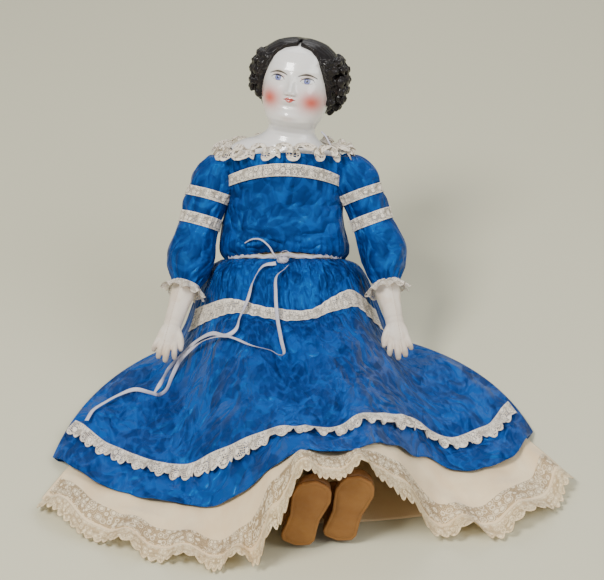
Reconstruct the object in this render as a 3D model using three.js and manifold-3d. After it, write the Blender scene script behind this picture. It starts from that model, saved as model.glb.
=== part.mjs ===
// A large antique china shoulder-head doll, seated with the legs stretched out in front.
// Millimetres. +Z is up, the doll faces -Y, +X is the doll's own left. The origin is on
// the floor under the seat. Names ending in _left and _right are the doll's own sides.
import * as THREE from 'three';
import { mergeVertices } from 'three/addons/utils/BufferGeometryUtils.js';
import Module from 'manifold-3d';

const wasm = await Module();
wasm.setup();

const TAU = Math.PI * 2;
const { degToRad, clamp, lerp } = THREE.MathUtils;
const SIDES = { left: 1, right: -1 };

// ---- driving dimensions ----------------------------------------------------------
const RECLINE = degToRad(20); // the body leans back from upright
const CLEARANCE = 0.4; // air between neighbouring pieces
const CLOTH = 1.5; // thickness of a garment wall
const LACE = 0.9; // thickness of a lace strip

const SEAT_TOP = 3.7; // underside of the body and legs, above the folded skirts
const NECK_BASE = 255; // along the spine, where the neck leaves the shoulder plate
const HEAD_ROLL = degToRad(5.5);
const HEAD_YAW = degToRad(10);
const CHINA_WALL = 4;
const CHINA_CROWN = 125; // above the neck base, where the skull starts to close over

const SHOULDER = { across: 78, spine: 240 };
const ARM_ROOT_RADIUS = 15.5;
const ARM_RADIUS = 15;
const ELBOW = { left: [116, 25, 138], right: [-107, 22, 138] };
const FINGERTIPS = { left: [142, -76, 52], right: [-146, -80, 52] };
const SLEEVE_SEAM = 68; // from the shoulder to the lower insertion band
const CUFF = 150; // from the shoulder to the wrist edge of the sleeve

const HIP = { across: 36, y: -22, z: 40 };
const THIGH_RADIUS = 34;
const KNEE_RADIUS = 27;
const ANKLE_RADIUS = 19;
const HEEL = { left: [60, -351, 7], right: [15, -359, 7] };
const FOOT_UP = [0.22, -0.19, 0.957]; // from heel to toe along the sole
const FOOT_LENGTH = 104;
const SOLE_THICKNESS = 3.5;

const WAIST = { across: 76, deep: 52, spine: 124, rise: 12 }; // it stands higher at the front
const WAIST_FALL = 62; // how far out from the waist the skirts have come down to what they lie on
const SKIRT_SPAN = degToRad(115); // half of the waist ring that feeds the top of the skirt
const SKIRT_TOP_COLUMNS = 28;
const SKIRT_UNDER_COLUMNS = 9;
const BACK_BREADTH_COLUMNS = 20;
const FOLD_RETURN = 0.012; // share of the underside's width in which a side fold turns flat

// ---- general helpers ---------------------------------------------------------------
const point = (x, y, z) => new THREE.Vector3(x, y, z);

function smooth(value) {
  const t = clamp(value, 0, 1);
  return t * t * (3 - 2 * t);
}

// Reads a table of [key, value, value, ...] rows, straight between its rows.
function read(table, key) {
  const last = table.length - 1;
  if (key <= table[0][0]) {
    return table[0].slice(1);
  }
  if (key >= table[last][0]) {
    return table[last].slice(1);
  }
  const above = table.findIndex((row) => row[0] > key);
  const [low, high] = [table[above - 1], table[above]];
  const share = (key - low[0]) / (high[0] - low[0]);
  return low.slice(1).map((value, n) => lerp(value, high[n + 1], share));
}

// Turns every face round when the body is inside out.
function facedOut(geometry) {
  const spots = geometry.attributes.position;
  const index = geometry.index;
  const [a, b, c] = [point(), point(), point()];
  let volume = 0;
  for (let n = 0; n < index.count; n += 3) {
    a.fromBufferAttribute(spots, index.getX(n));
    b.fromBufferAttribute(spots, index.getX(n + 1));
    c.fromBufferAttribute(spots, index.getX(n + 2));
    volume += a.dot(b.cross(c));
  }
  if (volume < 0) {
    for (let n = 0; n < index.count; n += 3) {
      const first = index.getX(n);
      index.setX(n, index.getX(n + 1));
      index.setX(n + 1, first);
    }
  }
  geometry.computeVertexNormals();
  return geometry;
}

// Splits quads along their other diagonal, so that the two faces of a thin wall match and never cross.
function turnDiagonals(index, isTurned) {
  const perQuad = 6;
  for (let n = 0; n < index.count; n += perQuad) {
    if (isTurned(n / perQuad)) {
      const [a, b, d, ...rest] = Array.from({ length: perQuad }, (_, k) => index.getX(n + k));
      const c = rest.find((corner) => corner !== b && corner !== d);
      [a, b, c, a, c, d].forEach((corner, k) => index.setX(n + k, corner));
    }
  }
}

// A lathe whose rows are placed by place(row, turn); closed joins the last row to the first.
function wrapped(rowCount, segments, closed, place) {
  const rows = rowCount + (closed ? 1 : 0);
  const profile = Array.from({ length: rows }, (_, row) => new THREE.Vector2(1, row));
  const geometry = new THREE.LatheGeometry(profile, segments);
  const spots = geometry.attributes.position;
  for (let column = 0; column <= segments; column += 1) {
    const turn = ((column % segments) / segments) * TAU;
    for (let row = 0; row < rows; row += 1) {
      const spot = place(row % rowCount, turn, column % segments);
      spots.setXYZ(column * rows + row, spot.x, spot.y, spot.z);
    }
  }
  if (closed) {
    turnDiagonals(geometry.index, (quad) => quad % (rows - 1) < rowCount / 2);
  }
  return facedOut(geometry);
}

// A solid body through rings; the first and last levels are drawn in to points.
function solidOf(levels, segments, place) {
  return wrapped(levels.length, segments, false, (row, turn) => place(levels[row], turn));
}

// A thin tube open at both ends; depth is 0 on its outside and 1 on its inside.
function shellOf(levels, segments, place) {
  const rows = [...levels.map((level) => [level, 0]), ...levels.toReversed().map((level) => [level, 1])];
  return wrapped(rows.length, segments, true, (row, turn, column) => {
    const [level, depth] = rows[row];
    return place(level, turn, depth, column);
  });
}

// A thin strip: place(u, v, w) with u along, v across and w through it.
function stripOf(columns, rows, place) {
  const geometry = new THREE.BoxGeometry(1, 1, 1, columns, rows, 1);
  const spots = geometry.attributes.position;
  for (let n = 0; n < spots.count; n += 1) {
    const half = 0.5;
    const spot = place(spots.getX(n) + half, spots.getY(n) + half, spots.getZ(n) + half);
    spots.setXYZ(n, spot.x, spot.y, spot.z);
  }
  const quads = geometry.index.count / 6;
  turnDiagonals(geometry.index, (quad) => quad >= quads - columns * rows);
  return facedOut(geometry);
}

function cordOf(route, diameter, steps) {
  const path = new THREE.CatmullRomCurve3(route.map((spot) => point(...spot)), false, 'centripetal');
  const corners = 8;
  const outline = Array.from({ length: corners }, (_, n) => {
    const turn = (n / corners) * TAU;
    return new THREE.Vector2(Math.cos(turn), Math.sin(turn)).multiplyScalar(diameter / 2);
  });
  const geometry = new THREE.ExtrudeGeometry(new THREE.Shape(outline), { steps, extrudePath: path });
  return geometry;
}

function toManifold(geometry) {
  const bare = new THREE.BufferGeometry();
  bare.setAttribute('position', geometry.attributes.position);
  bare.setIndex(geometry.index);
  const tolerance = 1e-3;
  const merged = mergeVertices(bare, tolerance);
  return new wasm.Manifold(new wasm.Mesh({
    numProp: 3,
    vertProperties: merged.attributes.position.array,
    triVerts: new Uint32Array(merged.index.array),
  }));
}

function toGeometry(manifold) {
  const { numProp, vertProperties, triVerts } = manifold.getMesh();
  const geometry = new THREE.BufferGeometry();
  const spots = new Float32Array((vertProperties.length / numProp) * 3);
  for (let n = 0; n < spots.length / 3; n += 1) {
    spots.set(vertProperties.slice(n * numProp, n * numProp + 3), n * 3);
  }
  geometry.setAttribute('position', new THREE.BufferAttribute(spots, 3));
  geometry.setIndex(new THREE.BufferAttribute(new Uint32Array(triVerts), 1));
  geometry.computeVertexNormals();
  return geometry;
}

function joined(geometries) {
  return toGeometry(geometries.map(toManifold).reduce((whole, part) => whole.add(part)));
}

function cut(geometry, cutters) {
  return toGeometry(cutters.map(toManifold).reduce((whole, part) => whole.subtract(part), toManifold(geometry)));
}

// The frame whose z runs from one point towards another.
function frameAlong(from, to, across = point(1, 0, 0)) {
  const z = to.clone().sub(from).normalize();
  const y = z.clone().cross(across).normalize();
  const x = y.clone().cross(z);
  return new THREE.Matrix4().makeBasis(x, y, z).setPosition(from);
}

// A round-ended bar from one point to another.
function bar(from, to, fromRadius, toRadius, segments) {
  const frame = frameAlong(from, to);
  const length = from.distanceTo(to);
  const arcs = 2;
  const levels = [];
  for (let n = 0; n <= arcs; n += 1) {
    const turn = (n / arcs) * (Math.PI / 2);
    levels.push([-fromRadius * Math.cos(turn), fromRadius * Math.sin(turn)]);
  }
  for (let n = 0; n <= arcs; n += 1) {
    const turn = (n / arcs) * (Math.PI / 2);
    levels.push([length + toRadius * Math.sin(turn), toRadius * Math.cos(turn)]);
  }
  return solidOf(levels, segments, ([height, radius], turn) =>
    point(radius * Math.sin(turn), radius * Math.cos(turn), height).applyMatrix4(frame));
}

const parts = new THREE.Group();

const FINISHES = {
  china: { color: 0xf6f3f0, roughness: 0.12 },
  muslin: { color: 0xdccfb8, roughness: 0.95 },
  kid: { color: 0xe9ddc8, roughness: 0.6 },
  silk: { color: 0x1563b8, roughness: 0.45 },
  cotton: { color: 0xf0e0c6, roughness: 0.95 },
  lace: { color: 0xe2d8c8, roughness: 0.95 },
  edging: { color: 0xead9b0, roughness: 0.95 },
  ribbon: { color: 0xdcd2d4, roughness: 0.5 },
  brown: { color: 0x7a4a24, roughness: 0.7 },
};

function add(name, finish, geometry) {
  const material = new THREE.MeshStandardMaterial({ metalness: 0, ...FINISHES[finish] });
  const mesh = new THREE.Mesh(geometry, material);
  mesh.name = name;
  parts.add(mesh);
}

// ---- body --------------------------------------------------------------------------
const SPINE = new THREE.Matrix4().makeRotationX(-RECLINE);

// A point of an oval ring about the spine; turn 0 is the front and a quarter turn is +X.
function aboutSpine(turn, across, deep, along) {
  return point(across * Math.sin(turn), -deep * Math.cos(turn), along).applyMatrix4(SPINE);
}

const BODY = [ // along the spine, half width, half depth
  [14, 36, 22], [22, 58, 31], [40, 70, 37], [60, 72, 40], [95, 60, 40],
  [120, 52, 36], [160, 54, 38], [205, 56, 39], [228, 54, 37], [237, 44, 29], [239, 28, 18],
];

function stuffedBody() {
  const levels = [[BODY[0][0], 0, 0], ...BODY, [BODY.at(-1)[0], 0, 0]];
  return solidOf(levels, 28, ([along, across, deep], turn) => {
    const spot = aboutSpine(turn, across, deep, along);
    spot.z = Math.max(spot.z, SEAT_TOP + along / 40);
    return spot;
  });
}

const HEAD_FRAME = SPINE.clone()
  .multiply(new THREE.Matrix4().makeTranslation(2, 0, NECK_BASE))
  .multiply(new THREE.Matrix4().makeRotationY(HEAD_ROLL))
  .multiply(new THREE.Matrix4().makeRotationZ(-HEAD_YAW));

const HEAD = [ // above the neck base, half width, depth in front, depth behind
  [143, 16, 14, 20], [140, 34, 26, 36], [133, 47, 35, 48], [120, 57, 41, 58], [105, 62, 43, 63],
  [90, 64, 43, 62], [75, 61, 43, 58], [63, 50, 43, 50], [55, 38, 42, 40], [48, 29, 37, 30],
  [44, 25, 27, 27], [36, 23, 22, 24], [24, 23, 22, 24], [12, 27, 25, 27], [4, 36, 31, 31],
];
const PLATE = [ // share of the way from neck to rim, half width, half depth
  [0.3, 44, 37], [0.6, 50, 41], [0.85, 53, 44], [1, 54, 45],
];
const RIM_SIDE = -7; // height of the plate's rim above the neck base at the shoulders
const RIM_FRONT = -30; // and at the middle of chest and back

function shoulderHead() {
  const outside = HEAD.map(([height, across, front, behind]) => [height, across, front, behind, 0]);
  const plate = PLATE.map(([share, across, deep]) => [0, across, deep, deep, share]);
  const skin = [...outside, ...plate];
  const levels = [
    [skin[0][0] + 1, 0, 0, 0, 0, 0],
    ...skin.map((level) => [...level, 0]),
    ...skin.toReversed().map((level) => [...level, 1]),
    [skin[0][0] + 1, 0, 0, 0, 0, 1],
  ];
  return solidOf(levels, 22, ([height, across, front, behind, share, inside], turn) => {
    const wall = inside * CHINA_WALL;
    const rim = lerp(RIM_FRONT, RIM_SIDE, Math.abs(Math.sin(turn)) ** 1.5);
    const lift = share > 0 ? lerp(1, rim, share) : height;
    const crown = height > CHINA_CROWN ? wall : 0;
    const reach = Math.cos(turn) > 0 ? front : behind;
    return point(
      Math.max(across - wall, 0) * Math.sin(turn),
      -Math.max(reach - wall, 0) * Math.cos(turn),
      lift - crown,
    ).applyMatrix4(HEAD_FRAME);
  });
}

add('china_shoulder_head', 'china', shoulderHead());
add('stuffed_torso', 'muslin', stuffedBody());

// ---- arms --------------------------------------------------------------------------
function shoulderOf(side) {
  return point(SIDES[side] * SHOULDER.across, 0, SHOULDER.spine).applyMatrix4(SPINE);
}

// Frames down the upper arm and down the forearm; x stays across the arm.
function armFrames(side) {
  const shoulder = shoulderOf(side);
  const elbow = point(...ELBOW[side]);
  const tips = point(...FINGERTIPS[side]);
  return {
    shoulder,
    elbow,
    tips,
    upper: frameAlong(shoulder, elbow),
    fore: frameAlong(elbow, tips),
    upperLength: shoulder.distanceTo(elbow),
    foreLength: elbow.distanceTo(tips),
  };
}

const ELBOW_BALL = 12; // round end of the forearm, about the elbow itself
const ELBOW_GAP = 0.7; // from the ball to the end of the upper arm

function upperArm(side) {
  const { upper, upperLength, shoulder } = armFrames(side);
  const r = ARM_ROOT_RADIUS;
  const end = upperLength - ELBOW_BALL - ELBOW_GAP;
  const levels = [
    [-r, 0], [-r * 0.87, r * 0.5], [-r * 0.5, r * 0.87], [0, r], [20, ARM_RADIUS + 1],
    [60, ARM_RADIUS], [end - 12, ARM_RADIUS - 1], [end - 5, ARM_RADIUS - 5], [end, ARM_RADIUS - 11], [end, 0],
  ];
  const limb = solidOf(levels, 18, ([along, radius], turn) =>
    point(radius * Math.sin(turn), radius * Math.cos(turn), along).applyMatrix4(upper));
  // The stitched root lies along the shoulder's own axis and reaches the body.
  const stub = new THREE.CylinderGeometry(8, 8, 18, 16);
  const reach = (56.5 + SHOULDER.across) / 2;
  stub.rotateZ(Math.PI / 2);
  stub.translate(SIDES[side] * reach, shoulder.y, shoulder.z);
  return joined([limb, stub]);
}

const WRIST_BACK = 46; // from fingertips to wrist
const FINGERS = [ // across the palm at the knuckle, across at the tip, length short of the tips, radius
  [-9.5, -14, 6, 3.5], [-3, -4.5, 0, 3.8], [3.6, 4.5, 2, 3.7], [9.4, 12.5, 9, 3.3],
];

function forearm(side) {
  const { fore, foreLength } = armFrames(side);
  const wrist = foreLength - WRIST_BACK;
  const ball = [0.16, 0.33, 0.5].map((share) => {
    const radius = ELBOW_BALL * Math.sin(share * Math.PI);
    return [-ELBOW_BALL * Math.cos(share * Math.PI), radius, radius];
  });
  const arm = solidOf(
    [
      [-ELBOW_BALL, 0, 0], ...ball, [12, 13, 12.5], [30, 15, 14.5], [52, 14, 13],
      [wrist - 12, 11.5, 10.5], [wrist, 11, 9], [wrist + 10, 13, 7.5], [wrist + 20, 13.2, 6.5], [wrist + 24, 12, 5],
      [wrist + 26, 0, 0],
    ],
    18,
    ([along, across, deep], turn) =>
      point(across * Math.sin(turn), deep * Math.cos(turn), along).applyMatrix4(fore),
  );
  const inner = -SIDES[side];
  const at = (x, y, z) => point(x, y, z).applyMatrix4(fore);
  const fingers = FINGERS.map(([knuckle, tip, short, radius]) => bar(
    at(-inner * knuckle, 0, wrist + 18),
    at(-inner * tip, -1.5, foreLength - short - radius),
    radius,
    radius - 0.4,
    8,
  ));
  const thumb = bar(at(inner * 9, 0, wrist + 4), at(inner * 17.5, -2, wrist + 22), 4.6, 3.6, 8);
  return joined([arm, ...fingers, thumb]);
}

for (const side of Object.keys(SIDES)) {
  add(`upper_arm_${side}`, 'muslin', upperArm(side));
  add(`leather_forearm_${side}`, 'kid', forearm(side));
}

// ---- legs --------------------------------------------------------------------------
const LEG_END = 34; // short of the heel, where the boot's shaft begins

function legFrame(side) {
  const hip = point(SIDES[side] * HIP.across, HIP.y, HIP.z);
  const ankle = point(...HEEL[side]).add(point(0, 12, 22));
  return { hip, ankle, frame: frameAlong(hip, ankle), length: hip.distanceTo(ankle) };
}

function leg(side) {
  const { frame, length } = legFrame(side);
  const end = length - LEG_END;
  // The top of the leg is sewn flat across the hip, which makes the hinge.
  const levels = [
    [2, 0, 0], [2, 19, 5], [10, 24, 10], [24, 28, 20], [45, THIGH_RADIUS - 1, 31], [70, THIGH_RADIUS - 2, THIGH_RADIUS],
    ...[
      [95, THIGH_RADIUS - 3], [140, KNEE_RADIUS + 1], [165, KNEE_RADIUS], [220, KNEE_RADIUS - 2],
      [end - 30, ANKLE_RADIUS + 1], [end - 2, ANKLE_RADIUS - 1], [end, ANKLE_RADIUS - 3], [end, 0],
    ].map(([along, radius]) => [along, radius, radius]),
  ];
  return solidOf(levels, 20, ([along, across, deep], turn) => {
    const spot = point(across * Math.sin(turn), deep * Math.cos(turn), along).applyMatrix4(frame);
    spot.z = Math.max(spot.z, SEAT_TOP + 0.3);
    return spot;
  });
}

const SOLE = [ // share of the foot's length, half width, height of the upper above the sole
  [0, 9, 16], [0.03, 14, 26], [0.12, 17.5, 38], [0.3, 16, 42], [0.45, 15.5, 38], [0.6, 18, 28],
  [0.75, 20, 22], [0.88, 17.5, 18], [0.96, 12, 13], [1, 7, 9],
];

function footFrame(side) {
  const up = point(...FOOT_UP).normalize();
  const away = point(0, 1, 0).addScaledVector(up, -up.y).normalize();
  const across = away.clone().cross(up);
  return new THREE.Matrix4().makeBasis(across, away, up).setPosition(point(...HEEL[side]));
}

function boot(side) {
  const frame = footFrame(side);
  const shoe = solidOf(
    [[0, 0, 0], ...SOLE, [1, 0, 0]],
    20,
    ([share, across, high], turn) => {
      const round = -Math.cos(turn);
      const back = round < 0 ? 0 : high * round ** 0.8;
      const lift = high === 0 ? 4 : back;
      return point(across * Math.sin(turn), lift, share * FOOT_LENGTH).applyMatrix4(frame);
    },
  );
  const { frame: shin, length } = legFrame(side);
  const start = length - LEG_END + CLEARANCE;
  const shaft = solidOf(
    [[start, 0], [start, ANKLE_RADIUS], [length - 8, ANKLE_RADIUS - 1], [length + 2, 12], [length + 2, 0]],
    20,
    ([along, radius], turn) => {
      const spot = point(radius * Math.sin(turn), radius * Math.cos(turn), along).applyMatrix4(shin);
      spot.z = Math.max(spot.z, SEAT_TOP + 0.6);
      return spot;
    },
  );
  return joined([shoe, shaft]);
}

function sole(side) {
  const frame = footFrame(side);
  const levels = [[0, 0, 0], ...SOLE, [1, 0, 0]];
  return solidOf(levels, 20, ([share, across], turn) => {
    const under = Math.cos(turn) > 0.01 ? SOLE_THICKNESS : 0;
    const lift = across === 0 ? SOLE_THICKNESS / 2 : under;
    const edge = across > 0 ? across + 0.6 : 0;
    return point(edge * Math.sin(turn), -CLEARANCE - lift, share * FOOT_LENGTH).applyMatrix4(frame);
  });
}

for (const side of Object.keys(SIDES)) {
  add(`leg_${side}`, 'muslin', leg(side));
  add(`boot_${side}`, 'brown', boot(side));
  add(`boot_sole_${side}`, 'brown', sole(side));
}

// ---- how the skirts lie -------------------------------------------------------------
const CREST = [ // y, height of the cloth where it passes over the legs
  [-420, 100], [-388, 111], [-360, 108], [-345, 105], [-250, 86], [-120, 86], [-50, 95], [0, 118], [60, 118], [120, 100],
];

// Height of what the skirts lie over, at a place on the floor.
function drape(x, y) {
  const forward = Math.max(-y, 0);
  const [crest] = read(CREST, y);
  const middle = 0.155 * forward;
  const flat = 54 - 0.075 * forward;
  const fall = 100 - 0.077 * forward + 50 * Math.sin(Math.min(forward / 388, 1) * Math.PI);
  const share = clamp((Math.abs(x - middle) - flat) / fall, 0, 1);
  return crest * (0.5 + 0.5 * Math.cos(share * Math.PI));
}

const SKIRT_HEM = [ // fan position from the right fold to the left fold, x, y
  [-1, -264, -204], [-0.8, -214, -256], [-0.6, -152, -286], [-0.4, -95, -298], [-0.2, -28, -326],
  [0, 35, -348], [0.15, 78, -342], [0.35, 125, -285], [0.5, 164, -238], [0.7, 215, -240],
  [0.85, 262, -222], [1, 292, -154],
];
const PETTICOAT_HEM = [
  [-1, -274, -292], [-0.8, -226, -342], [-0.6, -150, -380], [-0.4, -75, -402], [-0.2, -25, -400],
  [0, 22, -394], [0.1, 45, -392], [0.2, 72, -388], [0.35, 105, -372], [0.5, 150, -352],
  [0.7, 240, -350], [0.85, 305, -298], [1, 328, -240],
];

const SKIRT = {
  hem: SKIRT_HEM, waist: WAIST.across, deep: WAIST.deep, bow: [68, 72],
  top: 11.4, side: 5, under: 0, behind: 106, backHem: -215, wall: CLOTH,
};
const PETTICOAT = {
  hem: PETTICOAT_HEM, waist: WAIST.across - 4, deep: WAIST.deep - 4, bow: [14, 62],
  top: 5.8, side: 3.4, under: CLOTH + CLEARANCE, behind: 100, backHem: -384, wall: 1.3,
};

function waistRise(turn) {
  return WAIST.rise * Math.cos(turn);
}

function waistPoint(garment, angle) {
  return aboutSpine(angle, garment.waist, garment.deep, WAIST.spine + waistRise(angle));
}

// A place on the upper face of a garment: fan from -1 to 1, share from waist to hem.
function topPoint(garment, fan, share) {
  const start = waistPoint(garment, fan * SKIRT_SPAN);
  const [endX, endY] = read(garment.hem, fan);
  const outward = Math.abs(fan) ** 3;
  const middleX = (start.x + endX) / 2 + Math.sign(fan) * garment.bow[0] * outward;
  const middleY = (start.y + endY) / 2 + garment.bow[1] * outward;
  const keep = 1 - share;
  const x = keep * keep * start.x + 2 * keep * share * middleX + share * share * endX;
  const y = keep * keep * start.y + 2 * keep * share * middleY + share * share * endY;
  const edge = smooth((Math.abs(fan) - 0.97) / 0.03);
  const lying = lerp(drape(x, y) + garment.top, garment.side, edge);
  const away = Math.hypot(x - start.x, y - start.y);
  return point(x, y, lerp(start.z, lying, smooth(away / WAIST_FALL)));
}

function underPoint(garment, across, share) {
  const right = topPoint(garment, 1, share);
  const left = topPoint(garment, -1, share);
  const turned = waistPoint(garment, lerp(SKIRT_SPAN, TAU - SKIRT_SPAN, across));
  const rear = share < 0.12
    ? lerp(WAIST.deep + 36, garment.behind, share / 0.12)
    : lerp(garment.behind, garment.backHem, (share - 0.12) / 0.88);
  const bulge = Math.sin(across * Math.PI) ** 0.7;
  const settled = smooth(share / 0.12);
  const x = lerp(turned.x, lerp(right.x, left.x, across), settled);
  const y = lerp(turned.y, lerp(lerp(right.y, left.y, across), rear, bulge), settled);
  return point(x, y, lerp(turned.z, garment.under, smooth(share / 0.15)));
}

// A spot moved through the cloth: towards the waist's middle near it, and along flatInward further out.
function throughCloth(garment, spot, share, flatInward, depth) {
  const centre = aboutSpine(0, 0, 0, WAIST.spine);
  const inward = point(centre.x - spot.x, centre.y - spot.y, 0).normalize();
  inward.lerp(flatInward, smooth(share / 0.15)).normalize();
  return spot.addScaledVector(inward, depth * garment.wall);
}

// A tube of cloth: over the legs, round the folds and back under the seat.
function skirtTube(garment, shares) {
  const columns = SKIRT_TOP_COLUMNS + SKIRT_UNDER_COLUMNS;
  return shellOf(shares, columns, (share, turn, depth, column) => {
    const onTop = column <= SKIRT_TOP_COLUMNS;
    const fan = -1 + (2 * column) / SKIRT_TOP_COLUMNS;
    const step = (column - SKIRT_TOP_COLUMNS - 1) / (SKIRT_UNDER_COLUMNS - 2);
    const across = lerp(FOLD_RETURN, 1 - FOLD_RETURN, step);
    const spot = onTop ? topPoint(garment, fan, share) : underPoint(garment, across, share);
    const folded = onTop && Math.abs(fan) === 1;
    const flatInward = folded ? point(-Math.sign(fan), 0, 0) : point(0, 0, onTop ? -1 : 1);
    return throughCloth(garment, spot, share, flatInward, depth);
  });
}

// The breadths of cloth that go over the legs, from one side fold to the other.
function frontBreadths(garment, shares) {
  const rows = shares.length - 1;
  return stripOf(SKIRT_TOP_COLUMNS, rows, (u, v, w) => {
    const share = shares[Math.round(v * rows)];
    return throughCloth(garment, topPoint(garment, 2 * u - 1, share), share, point(0, 0, -1), w);
  });
}

// The breadth that goes down the back and lies flat under the seat.
function backBreadth(garment, shares) {
  const rows = shares.length - 1;
  return stripOf(BACK_BREADTH_COLUMNS, rows, (u, v, w) => {
    const share = shares[Math.round(v * rows)];
    const across = lerp(FOLD_RETURN, 1 - FOLD_RETURN, u);
    return throughCloth(garment, underPoint(garment, across, share), share, point(0, 0, 1), w);
  });
}

// A strip of lace that lies on the upper face of a garment.
function laceOnSkirt(garment, from, to, rows) {
  const first = 1 / SKIRT_TOP_COLUMNS;
  const columns = SKIRT_TOP_COLUMNS - 2;
  return stripOf(columns, rows, (u, v, w) => {
    const fan = lerp(-1 + 2 * first, 1 - 2 * first, u);
    const spot = topPoint(garment, fan, lerp(from, to, v));
    spot.z += CLEARANCE + 0.3 + w * LACE;
    return spot;
  });
}

const UPPER_LACE = [0.16, 0.2];
const LOWER_LACE = [0.83, 0.89];
const SKIRT_SHARES = [
  0, 0.03, 0.07, 0.115, ...UPPER_LACE, 0.28, 0.38, 0.5, 0.61, 0.73, ...LOWER_LACE, 1,
];
const INSERTION = [0.84, 0.91];
const EDGING = [0.94, 0.995];
const PETTICOAT_SHARES = [0, 0.03, 0.07, 0.115, 0.16, 0.22, 0.31, 0.42, 0.54, 0.65, 0.75, ...INSERTION, ...EDGING];

add('skirt', 'silk', frontBreadths(SKIRT, SKIRT_SHARES));
add('skirt_back_breadth', 'silk', backBreadth(SKIRT, SKIRT_SHARES));
add('skirt_insertion_lace', 'lace', laceOnSkirt(SKIRT, ...UPPER_LACE, 1));
add('skirt_lace_ruffle', 'lace', laceOnSkirt(SKIRT, ...LOWER_LACE, 1));
add('petticoat', 'cotton', skirtTube(PETTICOAT, PETTICOAT_SHARES));
add('petticoat_insertion_lace', 'lace', laceOnSkirt(PETTICOAT, ...INSERTION, 1));
add('petticoat_edging', 'edging', laceOnSkirt(PETTICOAT, ...EDGING, 1));

// ---- waist ---------------------------------------------------------------------------
// A level ring about the spine: each row is [along, half width, half depth].
function waistRing(rows, wall) {
  return shellOf(rows, 36, ([along, across, deep], turn, depth) =>
    aboutSpine(turn, across - depth * wall, deep - depth * wall, along + waistRise(turn)));
}

add('petticoat_waistband', 'cotton', waistRing([[125.5, 68, 45], [137, 65, 43]], 2));
add('waist_beading_lace', 'lace', waistRing([[125.2, 77.2, 53.2], [133, 76.4, 53]], LACE));

const BODICE = [ // along the spine, half width, half depth
  [134.5, 68, 51], [140, 72, 57], [158, 72, 59], [185, 69, 59], [205, 64, 57],
  [220, 60, 54], [245, 59.5, 51], [253, 59.5, 50],
];
const NECKLINE_RISE = 11; // the neckline stands higher at the middle than over the shoulders

function neckRise(turn) {
  return NECKLINE_RISE * Math.cos(turn) ** 2;
}

// How far a row of the bodice follows the tilt of the waist and the rise of the neckline.
function bodiceRise(along, turn) {
  const high = smooth((along - 200) / 50);
  const low = 1 - smooth((along - 134) / 60);
  return high * neckRise(turn) + low * waistRise(turn);
}

function bodice() {
  const tube = shellOf(BODICE, 36, ([along, across, deep], turn, depth) => {
    const spot = along + bodiceRise(along, turn);
    return aboutSpine(turn, across - depth * CLOTH, deep - depth * CLOTH, spot);
  });
  const holes = Object.values(SIDES).map((side) => {
    const hole = new THREE.CylinderGeometry(9.5, 9.5, 20, 20);
    const { y, z } = shoulderOf('left');
    hole.rotateZ(Math.PI / 2);
    hole.translate(side * 60, y, z);
    return hole;
  });
  return cut(tube, holes);
}

add('bodice', 'silk', bodice());

const CHEST_LACE = [230, 242];

function chestLace() {
  return stripOf(22, 2, (u, v, w) => {
    const turn = lerp(degToRad(-62), degToRad(62), u);
    const along = lerp(...CHEST_LACE, v);
    const [across, deep] = read(BODICE, along);
    const out = CLEARANCE + 0.4 + w * LACE;
    return aboutSpine(turn, across + out, deep + out, along + bodiceRise(along, turn));
  });
}

add('chest_insertion_lace', 'lace', chestLace());

function neckRuffle() {
  const rows = [[257.5, 84, 52.5], [262, 89, 56], [267, 97, 61]];
  return shellOf(rows, 48, ([along, across, deep], turn, depth) => {
    const wave = (along - rows[0][0]) * 0.25 * Math.sin(turn * 16);
    const thick = depth * LACE;
    return aboutSpine(turn, across - thick + wave, deep - thick + wave, along + neckRise(turn));
  });
}

add('neck_lace_ruffle', 'lace', neckRuffle());

// ---- sleeves -------------------------------------------------------------------------
const SLEEVE = [ // from the shoulder down the arm, reach outwards, reach towards the body
  [-22, 20, 18], [-14, 26, 20], [0, 29, 20.5], [16, 30, 20], [34, 30, 18.5], [52, 30, 18],
  [SLEEVE_SEAM - 0.5, 30, 18],
];
const LOWER_SLEEVE = [
  [SLEEVE_SEAM, 30, 18], [82, 31, 18.5], [98, 31, 20], [115, 31, 22], [132, 28, 22], [143, 22, 20],
  [CUFF - 2, 18, 17.5],
];

// A place on a ring about the arm, carried smoothly round the elbow.
function aboutArm(side, fromShoulder, radius, turn) {
  const { upper, fore, upperLength } = armFrames(side);
  const along = fromShoulder - upperLength;
  const ring = point(radius * Math.sin(turn), radius * Math.cos(turn), 0);
  const high = ring.clone().setZ(fromShoulder).applyMatrix4(upper);
  const low = ring.clone().setZ(along).applyMatrix4(fore);
  return high.lerp(low, smooth((along + 16) / 32));
}

function sleeveShell(side, rows, wall, segments = 18, wave = () => 0) {
  return shellOf(rows, segments, ([along, outer, inner], turn, depth) => {
    const radius = lerp(inner, outer, 0.5 + 0.5 * SIDES[side] * Math.sin(turn));
    return aboutArm(side, along, radius - depth * wall + wave(along, turn), turn);
  });
}

// Raglan sleeve heads are cut back from the bodice's side and from the neckline.
function upperSleeve(side) {
  const tube = sleeveShell(side, SLEEVE, CLOTH);
  const keepOut = solidOf(
    [[120, 0, 0], [120, 74, 61], [185, 71, 61], [222, 61.5, 56], [256.5, 61, 52], [256.5, 0, 0]],
    36,
    ([along, across, deep], turn) => aboutSpine(turn, across, deep, along),
  );
  const above = solidOf(
    [[256, 0, 0], [256, 140, 90], [300, 140, 90], [300, 0, 0]],
    36,
    ([along, across, deep], turn) => aboutSpine(turn, across, deep, along),
  );
  const root = new THREE.CylinderGeometry(9, 9, 30, 20);
  const { y, z } = shoulderOf(side);
  root.rotateZ(Math.PI / 2);
  root.translate(SIDES[side] * 65, y, z);
  const pieces = toManifold(cut(tube, [keepOut, above, root])).decompose();
  return toGeometry(pieces.reduce((best, piece) => (piece.volume() > best.volume() ? piece : best)));
}

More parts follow.
